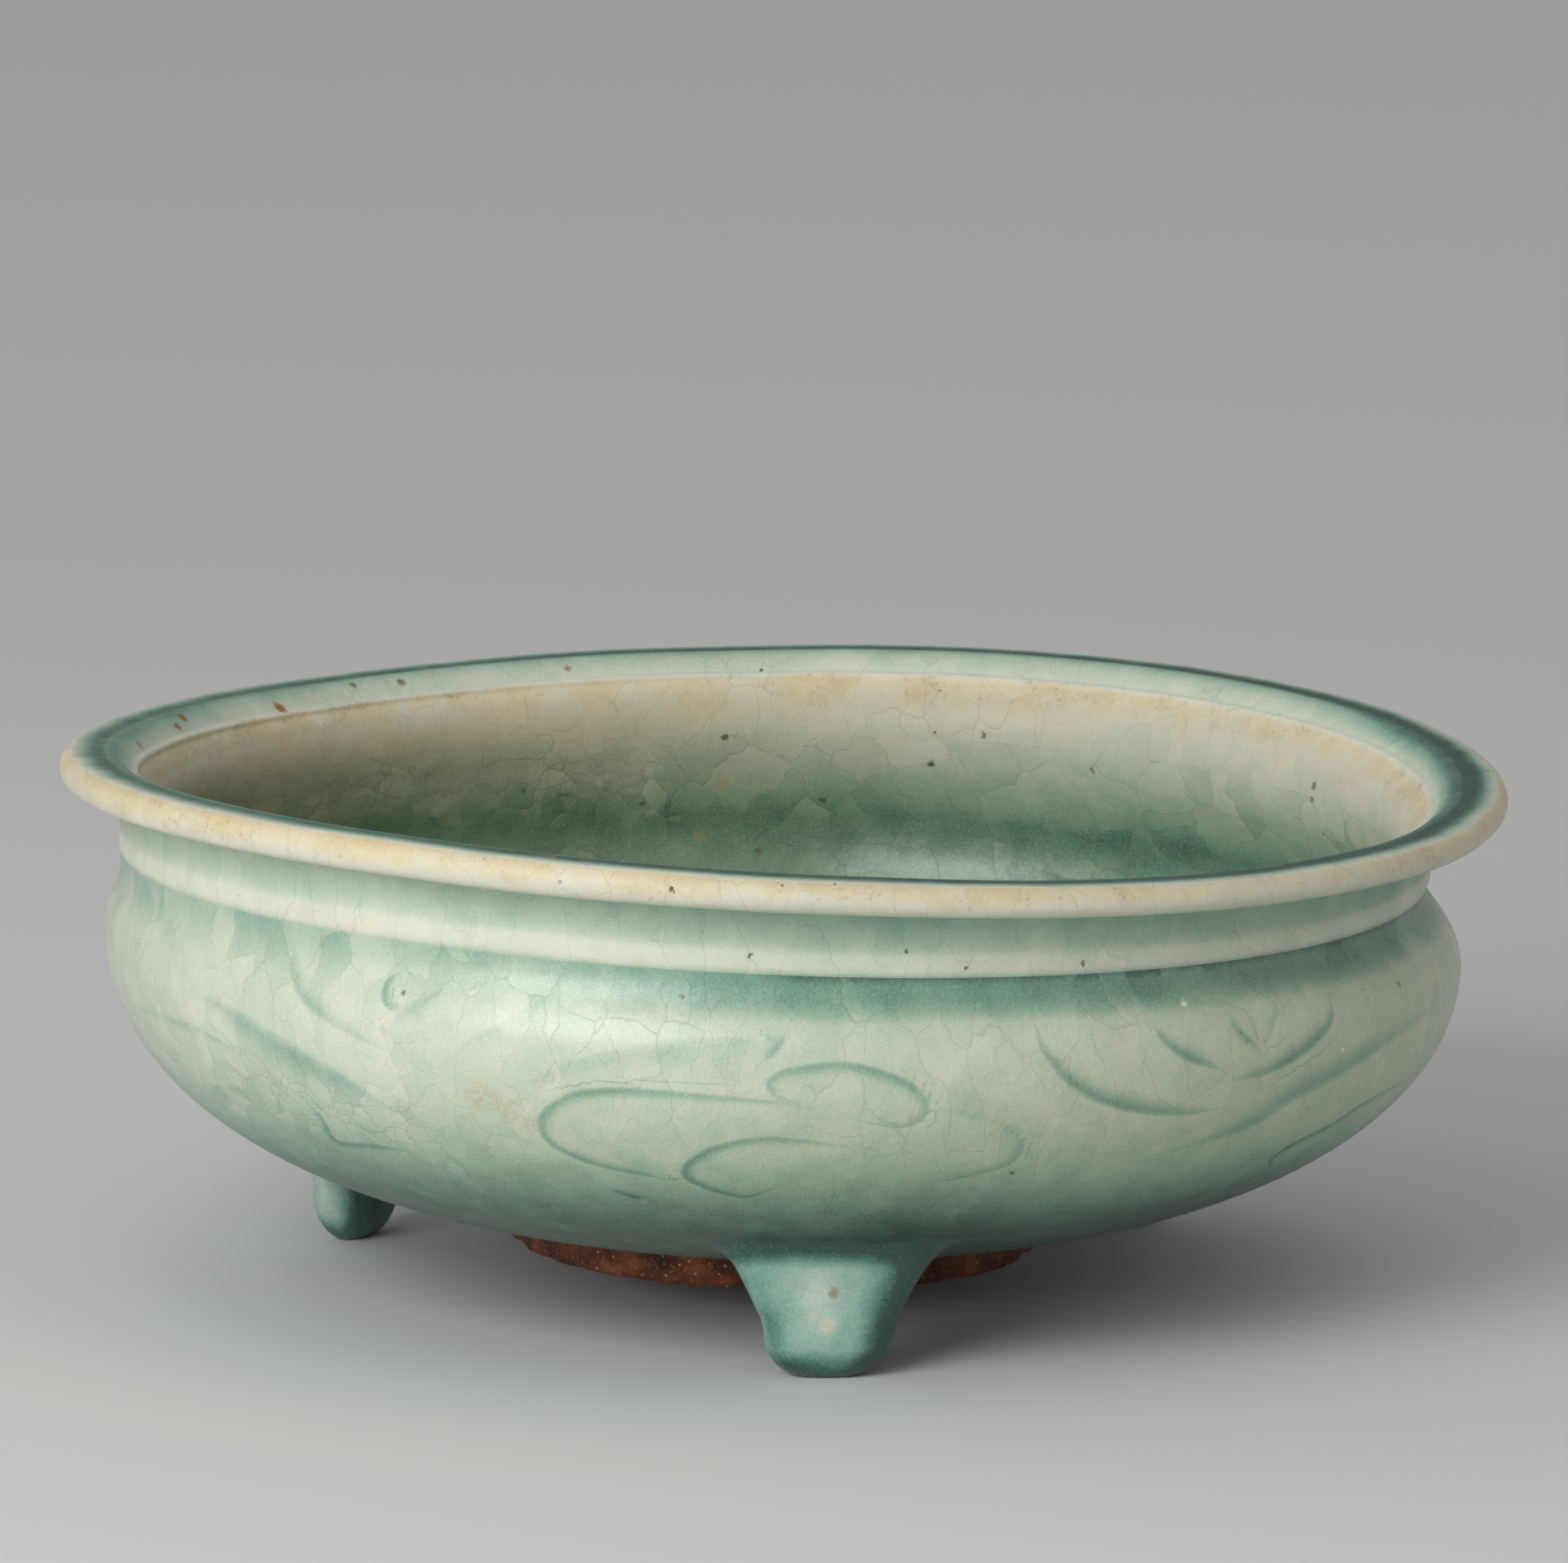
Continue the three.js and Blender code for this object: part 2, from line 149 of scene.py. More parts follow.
# The carved scroll. Each cut is a row of (degrees round from the front, millimetres up) points on the
# belly, then half its width in mm, how deep its glaze pools, and which side of the cut is the steep one.
CUTS = [
    ([(-72.5, 49.7), (-62.8, 50.5), (-56.6, 50.3), (-51, 48.5)], 0.7, 0.35, 1),
    ([(-56.1, 56.6), (-51.2, 54.3), (-44.9, 50.6), (-39.4, 47.5), (-35.5, 45)], 2.1, 0.6, 1),
    ([(-45.2, 66.5), (-44.4, 63.5), (-42.6, 60.5), (-39.8, 58), (-33.8, 54.2)], 1.1, 0.5, -1),
    ([(-33.3, 66.1), (-34.4, 64.3), (-34.2, 61.9), (-33, 60.7)], 0.7, 0.8, -1),
    ([(-33.5, 58.6), (-31.6, 61.3), (-28.9, 64.4)], 1.2, 0.35, 1),
    ([(-26.7, 56.9), (-24, 59.2), (-21.3, 62.4), (-19.4, 64.9)], 1, 0.2, 1),
    ([(-21.1, 51.7), (-16.4, 55.5), (-11.9, 57.6), (-7.2, 59), (-3.2, 60.3), (-1.4, 60.6)], 1.6, 0.32, 1),
    ([(0.6, 61.9), (-0.2, 60.1), (-1.2, 58)], 0.8, 0.6, 1),
    ([(1.5, 50.7), (-1.3, 51.1), (-5.4, 51.5), (-9.5, 51.7), (-13.7, 51.6), (-17.1, 50.3),
      (-19.5, 47.3), (-20.3, 44.6), (-19.8, 41.8), (-17.9, 39.6), (-14.9, 37.9), (-11.7, 37),
      (-8.9, 35.9)], 0.8, 0.75, -1),
    ([(1.7, 50.7), (-0.1, 52.1), (-0.9, 54.2), (0.2, 55.8), (2.7, 56.9), (5.6, 57.2), (8.6, 55.7),
      (10.7, 53.8), (11.9, 50.8), (11.5, 48.5), (9.7, 47.2), (7, 47.9)], 0.8, 0.65, 1),
    ([(5.4, 43.8), (3, 44.2), (-0.6, 44.6), (-3.6, 43.7), (-6.1, 41.8), (-7.8, 39.2), (-8, 37.2),
      (-6.7, 35.5), (-4.8, 34.2), (-2.6, 33.6), (0.1, 35.8)], 0.8, 0.7, -1),
    ([(12, 50.5), (14.8, 49.4), (17.4, 48), (19.4, 46), (20.6, 43.8), (20.4, 40.5), (18.4, 38.7),
      (16, 37.5), (13.2, 36.5)], 0.7, 0.4, 1),
    ([(12.5, 54.4), (15.6, 51.3), (20.4, 47.3), (25.6, 43.5)], 2.4, 0.2, 1),
    ([(21.7, 62.8), (22.2, 58.9), (24, 54.7), (26.3, 51.8), (29.5, 49.3), (33.1, 47.7), (36.1, 46.9),
      (39.1, 46.8)], 1.1, 0.75, -1),
    ([(32.5, 61.8), (33.7, 58.7), (35.9, 56.1), (38.9, 53.8)], 0.9, 0.7, -1),
    ([(40.3, 62.1), (41.1, 59.1), (43.2, 55.6)], 0.8, 0.5, 1),
    ([(46, 62.9), (44.7, 59.8), (43.5, 56.6)], 0.8, 0.4, 1),
    ([(52.9, 61.9), (52.2, 59.1), (50, 56.3), (46.9, 53.8), (43.8, 52.2), (40.3, 51.5)], 1, 0.7, 1),
    ([(71.7, 55.6), (61.6, 53.5), (57.6, 51.9), (48.8, 47.6), (44, 43.3), (36.4, 39.8)], 1.8, 0.5, 1),
    ([(74.9, 43.7), (63.2, 42.1), (57.8, 38.8), (53.6, 36.8), (52.1, 34.6), (53.8, 32)], 0.8, 0.6, -1),
    ([(-45.5, 43.8), (-43.8, 40.1), (-43.7, 35.7), (-38.8, 36.3), (-34.4, 36.6)], 0.7, 0.6, 1),
    ([(-15.5, 33.5), (-13.6, 32.5), (-11.8, 31.5)], 0.7, 0.4, -1),
]

# How a cut runs across, from its feathered side to its steep side, in half widths: (place, depth share).
CUT_SECTION = [(-2.8, 0), (-1.5, 0.25), (-0.5, 0.75), (0.2, 1), (0.7, 0.75), (1.3, 0)]
CUT_LOW, CUT_HIGH = CUT_SECTION[0][0], CUT_SECTION[-1][0]
CUT_MARGIN = 1.3 * MM
CUT_FADE = 1 * MM
CUT_REACH = 2.6 * MM
CUT_DEPTH = 0.15 * MM


# Profiles. Each is a list of (radius, height) points.

def bowl_height(radius, full_radius, depth):
    """Height of a bowl curve whose pole is `depth` under the belly line."""
    share = np.clip(radius / full_radius, 0, 1)
    return BELLY_LINE - depth * np.sqrt(1 - share ** BELLY_FULLNESS)


def underside_at(radius):
    return bowl_height(radius, BELLY_RADIUS, BELLY_DEPTH)


def inside_at(radius):
    return bowl_height(radius, BELLY_RADIUS - BELLY_WALL, BELLY_DEPTH - BASE_THICKNESS)


def bowl_curve(start_radius, stop_radius, full_radius, depth, steps):
    """The points of a bowl curve between two radii."""
    first, last = (math.asin((r / full_radius) ** (BELLY_FULLNESS / 2)) for r in (start_radius, stop_radius))
    angles = np.linspace(first, last, steps + 1)
    radii = full_radius * np.sin(angles) ** (2 / BELLY_FULLNESS)
    return [(r, BELLY_LINE - depth * math.cos(a)) for r, a in zip(radii, angles)]


def shoulder_curve(steps):
    """The S curve from the belly line up to the seam: full below, hollow above."""
    corners = [(BELLY_RADIUS, BELLY_LINE), (BELLY_RADIUS, BELLY_LINE + FULL_HEIGHT),
               (SEAM_RADIUS - HOLLOW_DEPTH, SEAM_HEIGHT - HOLLOW_HEIGHT), (SEAM_RADIUS, SEAM_HEIGHT)]
    shares = np.linspace(0, 1, steps + 1)[:, None]
    weights = [(1 - shares) ** 3, 3 * shares * (1 - shares) ** 2, 3 * shares ** 2 * (1 - shares), shares ** 3]
    return [tuple(point) for point in sum(w * np.array(c) for w, c in zip(weights, corners))]


def rise(value, start, span):
    """0 up to the start, then evenly up to 1 over the span."""
    return np.clip((value - start) / span, 0, 1)


def fall(value, end, span):
    """1, then evenly down over the span to 0 at the end."""
    return np.clip((end - value) / span, 0, 1)


def eased(share):
    """A share that starts and ends gently."""
    return share * share * (3 - 2 * share)


def bend(start, control, end, steps):
    """A quadratic curve, without its first point."""
    shares = [(i + 1) / steps for i in range(steps)]
    return [tuple((1 - t) ** 2 * a + 2 * t * (1 - t) * c + t * t * b for a, c, b in zip(start, control, end))
            for t in shares]


def sway(start, end, steps):
    """An S curve that is upright at both ends, without its first point."""
    shares = [(i + 1) / steps for i in range(steps)]
    return [(start[0] + (end[0] - start[0]) * eased(t), start[1] + (end[1] - start[1]) * t) for t in shares]


def run(start, end, steps):
    """A straight line, without its first point."""
    return bend(start, tuple((a + b) / 2 for a, b in zip(start, end)), end, steps)


def arc(centre, radius, first, last, steps):
    """A round stretch between two angles in degrees, without its first point."""
    angles = np.radians(np.linspace(first, last, steps + 1)[1:])
    return [(centre[0] + radius * math.cos(a), centre[1] + radius * math.sin(a)) for a in angles]


def belly_profile():
    """The belly's outline, from the hole under the disc, up the outside and down the inside."""
    inner = BELLY_RADIUS - BELLY_WALL
    low = 95 * MM
    points = bowl_curve(LEDGE_RADIUS, low, BELLY_RADIUS, BELLY_DEPTH, 26)
    points += bowl_curve(low, BELLY_RADIUS, BELLY_RADIUS, BELLY_DEPTH, 52)[1:]
    points += shoulder_curve(30)[1:]
    seam_end = len(points)
    tongue_top = SEAM_HEIGHT + TONGUE_HEIGHT
    points += [(TONGUE_RADIUS, SEAM_HEIGHT), (TONGUE_RADIUS, tongue_top), (INNER_NECK_RADIUS, tongue_top)]
    inside = bowl_curve(DISC_RADIUS, inner, inner, BELLY_DEPTH - BASE_THICKNESS, 16)
    inside += sway(inside[-1], (INNER_NECK_RADIUS, tongue_top), 18)[:-1]
    points += inside[::-1]
    seat = inside_at(DISC_RADIUS) - DISC_THICKNESS
    points += [(DISC_RADIUS, seat), (LEDGE_RADIUS, seat)]
    return points, seam_end


def rim_profile():
    """The neck and lip's outline, and the index of the point where each of its stretches ends."""
    half = LIP_THICKNESS / 2
    corners = [(SEAM_RADIUS + out * MM, SEAM_HEIGHT + up * MM) for out, up in NECK_LINE]
    foot, crown_low, crown_high, neck = corners
    fillet_end = (SEAM_RADIUS + LIP_FILLET, LIP_UNDERSIDE)
    lip_centre = (RIM_RADIUS - half, LIP_HEIGHT)
    lip_top = LIP_UNDERSIDE + LIP_THICKNESS
    crown = (lip_centre[0] - LIP_FLAT, lip_top)
    mouth = RIM_RADIUS - LIP_LEDGE
    mouth_height = lip_top - MOUTH_DROP
    ledge_end = (mouth + MOUTH_EDGE_RADIUS, mouth_height)
    mouth_low = (mouth, mouth_height - MOUTH_EDGE_RADIUS)
    step_top = SEAM_HEIGHT + TONGUE_HEIGHT
    stretches = {
        "foot": [foot],
        "crown_low": bend(foot, (crown_low[0], SEAM_HEIGHT + 0.9 * MM), crown_low, 6),
        "crown_high": bend(crown_low, (crown_low[0], SEAM_HEIGHT + 4.4 * MM), crown_high, 9),
        "neck": bend(crown_high, (crown_high[0], SEAM_HEIGHT + 7.2 * MM), neck, 7),
        "fillet": bend(neck, (neck[0] + 0.3 * MM, LIP_UNDERSIDE), fillet_end, 10),
        "underside": run(fillet_end, (lip_centre[0], LIP_UNDERSIDE), 5),
        "edge": arc(lip_centre, half, -90, 90, 22),
        "flat": run((lip_centre[0], lip_top), crown, 8),
        "slope": bend(crown, (crown[0] - LIP_CROWN, lip_top), ledge_end, 14),
        "mouth": bend(ledge_end, (mouth, mouth_height), mouth_low, 6),
        "inner": bend(mouth_low, (INNER_NECK_RADIUS, (mouth_height + step_top) / 2),
                      (INNER_NECK_RADIUS, step_top), 18),
        "step": [(TONGUE_RADIUS, step_top), (TONGUE_RADIUS, SEAM_HEIGHT)],
    }
    points, ends = [], {}
    for name, stretch in stretches.items():
        points += stretch
        ends[name] = len(points) - 1
    return points, ends


def lengths(points):
    """Distance along an outline at each of its points."""
    steps = np.linalg.norm(np.diff(np.array(points), axis=0), axis=1)
    return np.concatenate([[0], np.cumsum(steps)])


# The potter's wheel: a Geometry Nodes tree that turns an outline into a closed form. Points nearer than
# the seam gap are merged.
SEAM_GAP = 0.002 * MM


def wheel_tree():
    """Bends a flat grid round the upright axis, a row for each point of the outline, and closes it."""
    tree = bpy.data.node_groups.new("wheel", "GeometryNodeTree")
    for name, way, kind in (("Outline", "INPUT", "Geometry"), ("Sides", "INPUT", "Int"),
                            ("Finish", "INPUT", "Material"), ("Form", "OUTPUT", "Geometry")):
        tree.interface.new_socket(name, in_out=way, socket_type=f"NodeSocket{kind}")
    g = Graph(tree)
    given = g.add("NodeGroupInput").outputs
    size = g.add("GeometryNodeAttributeDomainSize", {"Geometry": given["Outline"]}, component="MESH")
    rows = size.outputs["Point Count"]
    grid = g.add("GeometryNodeMeshGrid", {"Size X": 1, "Size Y": 1, "Vertices Y": rows,
                                          "Vertices X": g.math("ADD", given["Sides"], 1)})
    place = g.add("GeometryNodeInputPosition").outputs[0]
    across, up, _ = g.parts(place)
    angle = g.times(g.math("ADD", across, 0.5), 2 * math.pi)
    row = g.math("ROUND", g.times(g.math("ADD", up, 0.5), g.math("SUBTRACT", rows, 1)))

    def of_outline(value, kind):
        inputs = {"Geometry": given["Outline"], "Value": value, "Index": row}
        return g.add("GeometryNodeSampleIndex", inputs, data_type=kind).outputs["Value"]

    radius, _, height = g.parts(of_outline(place, "FLOAT_VECTOR"))
    turned = g.add("ShaderNodeCombineXYZ", {0: g.times(radius, g.math("COSINE", angle)),
                                            1: g.times(radius, g.math("SINE", angle)), 2: height})
    named = g.add("GeometryNodeInputNamedAttribute", {"Name": "along"}, data_type="FLOAT")
    along = of_outline(named.outputs["Attribute"], "FLOAT")
    form = g.add("GeometryNodeStoreNamedAttribute", {"Geometry": grid.outputs["Mesh"], "Name": "along",
                                                     "Value": along}, data_type="FLOAT", domain="POINT")
    for kind, inputs in (("SetPosition", {"Position": turned.outputs[0]}),
                         ("MergeByDistance", {"Distance": SEAM_GAP}), ("SetShadeSmooth", {}),
                         ("RealizeInstances", {}), ("SetMaterial", {"Material": given["Finish"]})):
        form = g.add(f"GeometryNode{kind}", {"Geometry": form.outputs[0], **inputs})
    g.add("NodeGroupOutput", {"Form": form.outputs[0]})
    return tree


class Graph:
    """A short way to write a node tree: each call adds a node."""

    def __init__(self, tree):
        self.tree = tree

    def add(self, kind, inputs=None, **settings):
        made = self.tree.nodes.new(kind)
        for name, value in settings.items():
            setattr(made, name, value)
        for name, value in (inputs or {}).items():
            if isinstance(value, bpy.types.NodeSocket):
                self.tree.links.new(value, made.inputs[name])
            else:
                made.inputs[name].default_value = value
        return made

    def math(self, operation, *values, clamp=False):
        inputs = dict(enumerate(values))
        return self.add("ShaderNodeMath", inputs, operation=operation, use_clamp=clamp).outputs[0]

    def times(self, *values):
        return self.math("MULTIPLY", *values)

    def added(self, value, *shares):
        """A value with shares of others added to it, each given as (value, factor)."""
        for part, factor in shares:
            value = self.math("MULTIPLY_ADD", part, factor, value)
        return value

    def vector(self, operation, *values, output="Vector"):
        inputs = dict(enumerate(values))
        return self.add("ShaderNodeVectorMath", inputs, operation=operation).outputs[output]

    def measure(self, operation, *values):
        """A length, a distance or a dot product."""
        return self.vector(operation, *values, output="Value")

    def parts(self, vector):
        return self.add("ShaderNodeSeparateXYZ", {0: vector}).outputs

    def ramp(self, value, stops):
        """A colour ramp; a stop is a place and a grey or a colour."""
        made = self.add("ShaderNodeValToRGB", {"Fac": value})
        band = made.color_ramp
        while len(band.elements) < len(stops):
            band.elements.new(0.5)
        for element, (place, colour) in zip(band.elements, stops):
            element.position = place
            element.color = (*colour, 1) if isinstance(colour, tuple) else (colour, colour, colour, 1)
        return made.outputs["Color"]

    def span(self, value, low, high, out_low=0, out_high=1):
        """A value taken smoothly from one range to another."""
        inputs = {"Value": value, "From Min": low, "From Max": high, "To Min": out_low, "To Max": out_high}
        return self.add("ShaderNodeMapRange", inputs, interpolation_type="SMOOTHSTEP").outputs["Result"]

    def mix(self, share, first, second, blend="MIX"):
        """Mixes two colours; the share, then the colours, are inputs 0, 6 and 7 of Blender's node."""
        first, second = ((*c, 1) if isinstance(c, tuple) else c for c in (first, second))
        inputs = {0: share, 6: first, 7: second}
        return self.add("ShaderNodeMix", inputs, data_type="RGBA", blend_type=blend).outputs[2]

    def noise(self, place, scale, detail=2, roughness=0.5, output="Fac"):
        inputs = {"Vector": place, "Scale": scale, "Detail": detail, "Roughness": roughness}
        return self.add("ShaderNodeTexNoise", inputs).outputs[output]

    def wander(self, place, scale, detail=2):
        """A noise as a shift to any side, with each part from -0.5 to 0.5."""
        return self.vector("SUBTRACT", self.noise(place, scale, detail, output="Color"), (0.5,) * 3)

    def cells(self, place, scale, feature="F1"):
        return self.add("ShaderNodeTexVoronoi", {"Vector": place, "Scale": scale, "Randomness": 1.0},
                        feature=feature)

    def attribute(self, name):
        return self.add("ShaderNodeAttribute", attribute_name=name).outputs["Fac"]

    def surface(self, height, inputs):
        """Ends a material: its relief in mm, and the inputs of its shader."""
        bump = self.add("ShaderNodeBump", {"Strength": 1, "Distance": MM, "Height": height})
        shader = self.add("ShaderNodeBsdfPrincipled", {"Normal": bump.outputs[0], **inputs})
        self.add("ShaderNodeOutputMaterial", {"Surface": shader.outputs[0]})


def put_in_scene(name, data):
    made = bpy.data.objects.new(name, data)
    bpy.context.scene.collection.objects.link(made)
    return made


def thrown(name, points, finish):
    """A closed form turned from an outline of (radius, height) points, as a plain mesh object."""
    closed = [*points, points[0]] if points[0][0] > 0 else points
    outline = bpy.data.meshes.new(f"{name}_outline")
    outline.from_pydata([(r, 0, z) for r, z in closed], [(i, i + 1) for i in range(len(closed) - 1)], [])
    outline.attributes.new("along", "FLOAT", "POINT").data.foreach_set("value", lengths(closed) / MM)
    wheel = put_in_scene(name, outline)
    modifier = wheel.modifiers.new("wheel", "NODES")
    modifier.node_group = WHEEL
    given = {"Sides": SIDES.get(name, LEG_SIDES), "Finish": finish}
    for socket in WHEEL.interface.items_tree:
        if socket.name in given:
            modifier[socket.identifier] = given[socket.name]
    graph = bpy.context.evaluated_depsgraph_get()
    mesh = bpy.data.meshes.new_from_object(wheel.evaluated_get(graph))
    wheel.modifiers.remove(modifier)
    wheel.data = mesh
    mesh.materials.clear()
    mesh.materials.append(finish)
    mesh.polygons.foreach_set("material_index", np.zeros(len(mesh.polygons), np.int32))
    face_outwards(mesh)
    return wheel


# Reading and writing a mesh's points as arrays.

def read(items, name, kind=np.int32, width=1):
    values = np.empty(len(items) * width, kind)
    items.foreach_get(name, values)
    return values


def points_of(mesh):
    return read(mesh.vertices, "co", float, 3).reshape(-1, 3)


def move_points(mesh, points):
    mesh.vertices.foreach_set("co", points.astype(np.float32).ravel())
    mesh.update()


def values_of(mesh, name):
    return read(mesh.attributes[name].data, "value", np.float32)


def store(mesh, name, values):
    attribute = mesh.attributes.get(name) or mesh.attributes.new(name, "FLOAT", "POINT")
    attribute.data.foreach_set("value", values.astype(np.float32))


def face_outwards(mesh):
    """Turns the faces round if the closed form's volume comes out negative."""
    mesh.calc_loop_triangles()
    corners = read(mesh.loop_triangles, "vertices", width=3).reshape(-1, 3)
    a, b, c = points_of(mesh)[corners].transpose(1, 0, 2)
    if np.einsum("ij,ij->i", a, np.cross(b, c)).sum() < 0:
        mesh.flip_normals()


def unevenness(points, size, seed):
    """A smooth value for each point, from -1 to 1, with lumps of the given size in mm."""
    shift = Vector((seed * 7.3, seed * 3.1, seed * 5.7))
    return np.array([noise.noise(Vector(point) / (size * MM) + shift) for point in points])


def swelled(points, layers):
    """How far a wall swells at each point, all its layers together."""
    return sum(unevenness(points, size, seed) * height * MM for size, height, seed in layers)


def bowl_place():
    """Where the leaning bowl stands: it leans about the middle of its rim."""
    lift = Matrix.Translation((0, 0, LIP_HEIGHT))
    return lift @ Matrix.Rotation(BOWL_LEAN, 4, "Y") @ lift.inverted()


def polar(points):
    """Each point's radius and angle about the upright axis."""
    return np.hypot(points[:, 0], points[:, 1]), np.arctan2(points[:, 1], points[:, 0])


def radially(points):
    """The level direction away from the axis at each point."""
    return points * (1, 1, 0) / polar(points)[0][:, None]


def settle(mesh, points):
    """Gives the points of a piece of the bowl its drift, the kiln's sag and the lean, and writes them."""
    share = np.maximum((points[:, 2] - BELLY_LINE) / (LIP_HEIGHT - BELLY_LINE), 0)
    sag = SAG * share * np.cos(2 * (polar(points)[1] - SAG_ANGLE))
    points = points.copy()
    points[:, 0] += np.interp(points[:, 2] / MM, DRIFT_HEIGHTS, DRIFT) * MM
    points[:, 2] += sag
    place = np.array(bowl_place())
    move_points(mesh, points @ place[:3, :3].T + place[:3, 3])


# Carving.

def outside_radius(height):
    """The belly's outer radius at a height, in millimetres."""
    height = np.asarray(height, float) * MM
    low = np.clip((BELLY_LINE - height) / BELLY_DEPTH, 0, 1)
    below = BELLY_RADIUS * (1 - low ** 2) ** (1 / BELLY_FULLNESS)
    radii, heights = zip(*shoulder_curve(30))
    return np.where(height < BELLY_LINE, below, np.interp(height, heights, radii))


def smooth_path(knots, steps=10):
    """A smooth line through the knots (Catmull-Rom)."""
    knots = np.array(knots, float)
    ends = np.vstack([2 * knots[0] - knots[1], knots, 2 * knots[-1] - knots[-2]])
    path = []
    for i in range(len(knots) - 1):
        a, b, c, d = ends[i:i + 4]
        for t in np.arange(steps) / steps:
            path.append(0.5 * (2 * b + (c - a) * t + (2 * a - 5 * b + 4 * c - d) * t ** 2
                               + (3 * b - a - 3 * c + d) * t ** 3))
    return np.array([*path, knots[-1]])


def on_belly(path, turn):
    """Points on the belly from (degrees round, millimetres up) rows, turned further by `turn` degrees."""
    angle = np.radians(path[:, 0] + turn)
    radius = outside_radius(path[:, 1])
    return np.column_stack([radius * np.sin(angle), -radius * np.cos(angle), path[:, 1] * MM])


def carve(points, is_outside):
    """Measures the scroll's cuts at each point: place across the nearest cut, its strength and depth."""
    across = np.full(len(points), 3 * CUT_LOW)
    strength = np.zeros(len(points))
    nearest = np.full(len(points), 1e3)
    for knots, half_width, pooled, steep in CUTS:
        for turn in (0, 180):
            path = on_belly(smooth_path(knots), turn)
            reach = CUT_REACH - CUT_LOW * half_width * MM
            near = (points > path.min(0) - reach) & (points < path.max(0) + reach)
            index = np.flatnonzero(is_outside & near.all(axis=1))
            if not len(index):
                continue
            start, step = path[:-1], np.diff(path, axis=0)
            offset = points[index, None] - start
            share = np.clip((offset * step).sum(2) / (step ** 2).sum(1), 0, 1)
            gap = offset - share[..., None] * step
            distance = np.linalg.norm(gap, axis=2)
            best = distance.argmin(1)
            rows = np.arange(len(index))
            outward = points[index] * (1, 1, 0)
            side = np.sign((np.cross(outward, step[best]) * gap[rows, best]).sum(1))
            run_share = (best + share[rows, best]) / len(step)
            taper = np.clip(np.sin(math.pi * np.clip(run_share, 0.02, 0.98)) ** 0.5, 0.3, 1)
            place = steep * side * distance[rows, best] / (half_width * MM * taper)
            closer = np.abs(place) < nearest[index]
            chosen = index[closer]
            nearest[chosen] = np.abs(place[closer])
            across[chosen] = place[closer]
            end = np.where(place > 0, CUT_HIGH, -CUT_LOW) * half_width * MM * taper
            fade = np.clip(1 - (distance[rows, best] - end - CUT_MARGIN) / CUT_FADE, 0, 1)
            strength[chosen] = (pooled * taper * fade)[closer]
    depth = strength * np.interp(across, *zip(*CUT_SECTION))
    return across, strength, depth


# Finishes.

def tint(*seen):
    """A colour given as it is seen: red, green and blue, from 0 to 255."""
    return tuple(((c / 255 + 0.055) / 1.055) ** 2.4 if c > 10 else c / 255 / 12.92 for c in seen)


# The celadon from where it is thinnest, over an edge, to where it pools.
GLAZE_DEPTHS = [
    (0, tint(218, 198, 156)), (0.1, tint(221, 211, 180)), (0.2, tint(219, 218, 202)),
    (0.32, tint(203, 211, 193)), (0.46, tint(179, 196, 177)), (0.6, tint(147, 178, 159)),
    (0.75, tint(112, 152, 134)), (0.88, tint(80, 118, 103)), (1, tint(50, 82, 72)),
]
STAIN = tint(172, 144, 92)
GRIT = tint(126, 110, 66)
CRACK = tint(120, 116, 78)
# A brown tint for the inside, partly a stain and partly painted shade.
INSIDE_SHADE_AND_BROWN = (0.66, 0.58, 0.43)
LEG_WASH = (0.84, 0.94, 0.99)
FILM = (0.99, 0.955, 0.87)
IRON = tint(62, 60, 46)
BUBBLE = tint(214, 228, 218)
RUST = tint(156, 92, 26)
OLIVE = tint(84, 80, 50)
PALE = tint(222, 222, 200)
SCUFF = tint(186, 178, 134)
SMUDGE = tint(138, 124, 78)
CREAM = tint(206, 196, 168)
CHIP = tint(238, 238, 228)

# Marks in the glaze: (x, y and z in mm, radius in mm, colour, strength).
BELLY_MARKS = [
    (64.5, -88.6, 63.2, 1, CHIP, 0.95), (90.8, -66.3, 51.5, 0.7, CHIP, 0.9),
    (100.5, -48.5, 59.2, 1.2, RUST, 0.7), (37.2, -98.3, 37.3, 0.8, OLIVE, 0.9),
    (-60.2, -93.5, 65, 0.8, OLIVE, 0.8), (-21.8, -96, 31.9, 1.4, PALE, 0.6),
    (-52.3, -87.6, 35.3, 2.6, PALE, 0.45), (-55.6, -86.9, 36.5, 1.4, PALE, 0.4),
    (-48.1, -100.4, 49.7, 5, SCUFF, 0.8), (-43.5, -101.8, 48.1, 4.5, SCUFF, 0.8),
    (-39.6, -102.2, 45.5, 3.2, SCUFF, 0.75), (-15.7, -108.1, 67.4, 0.8, OLIVE, 0.7),
]
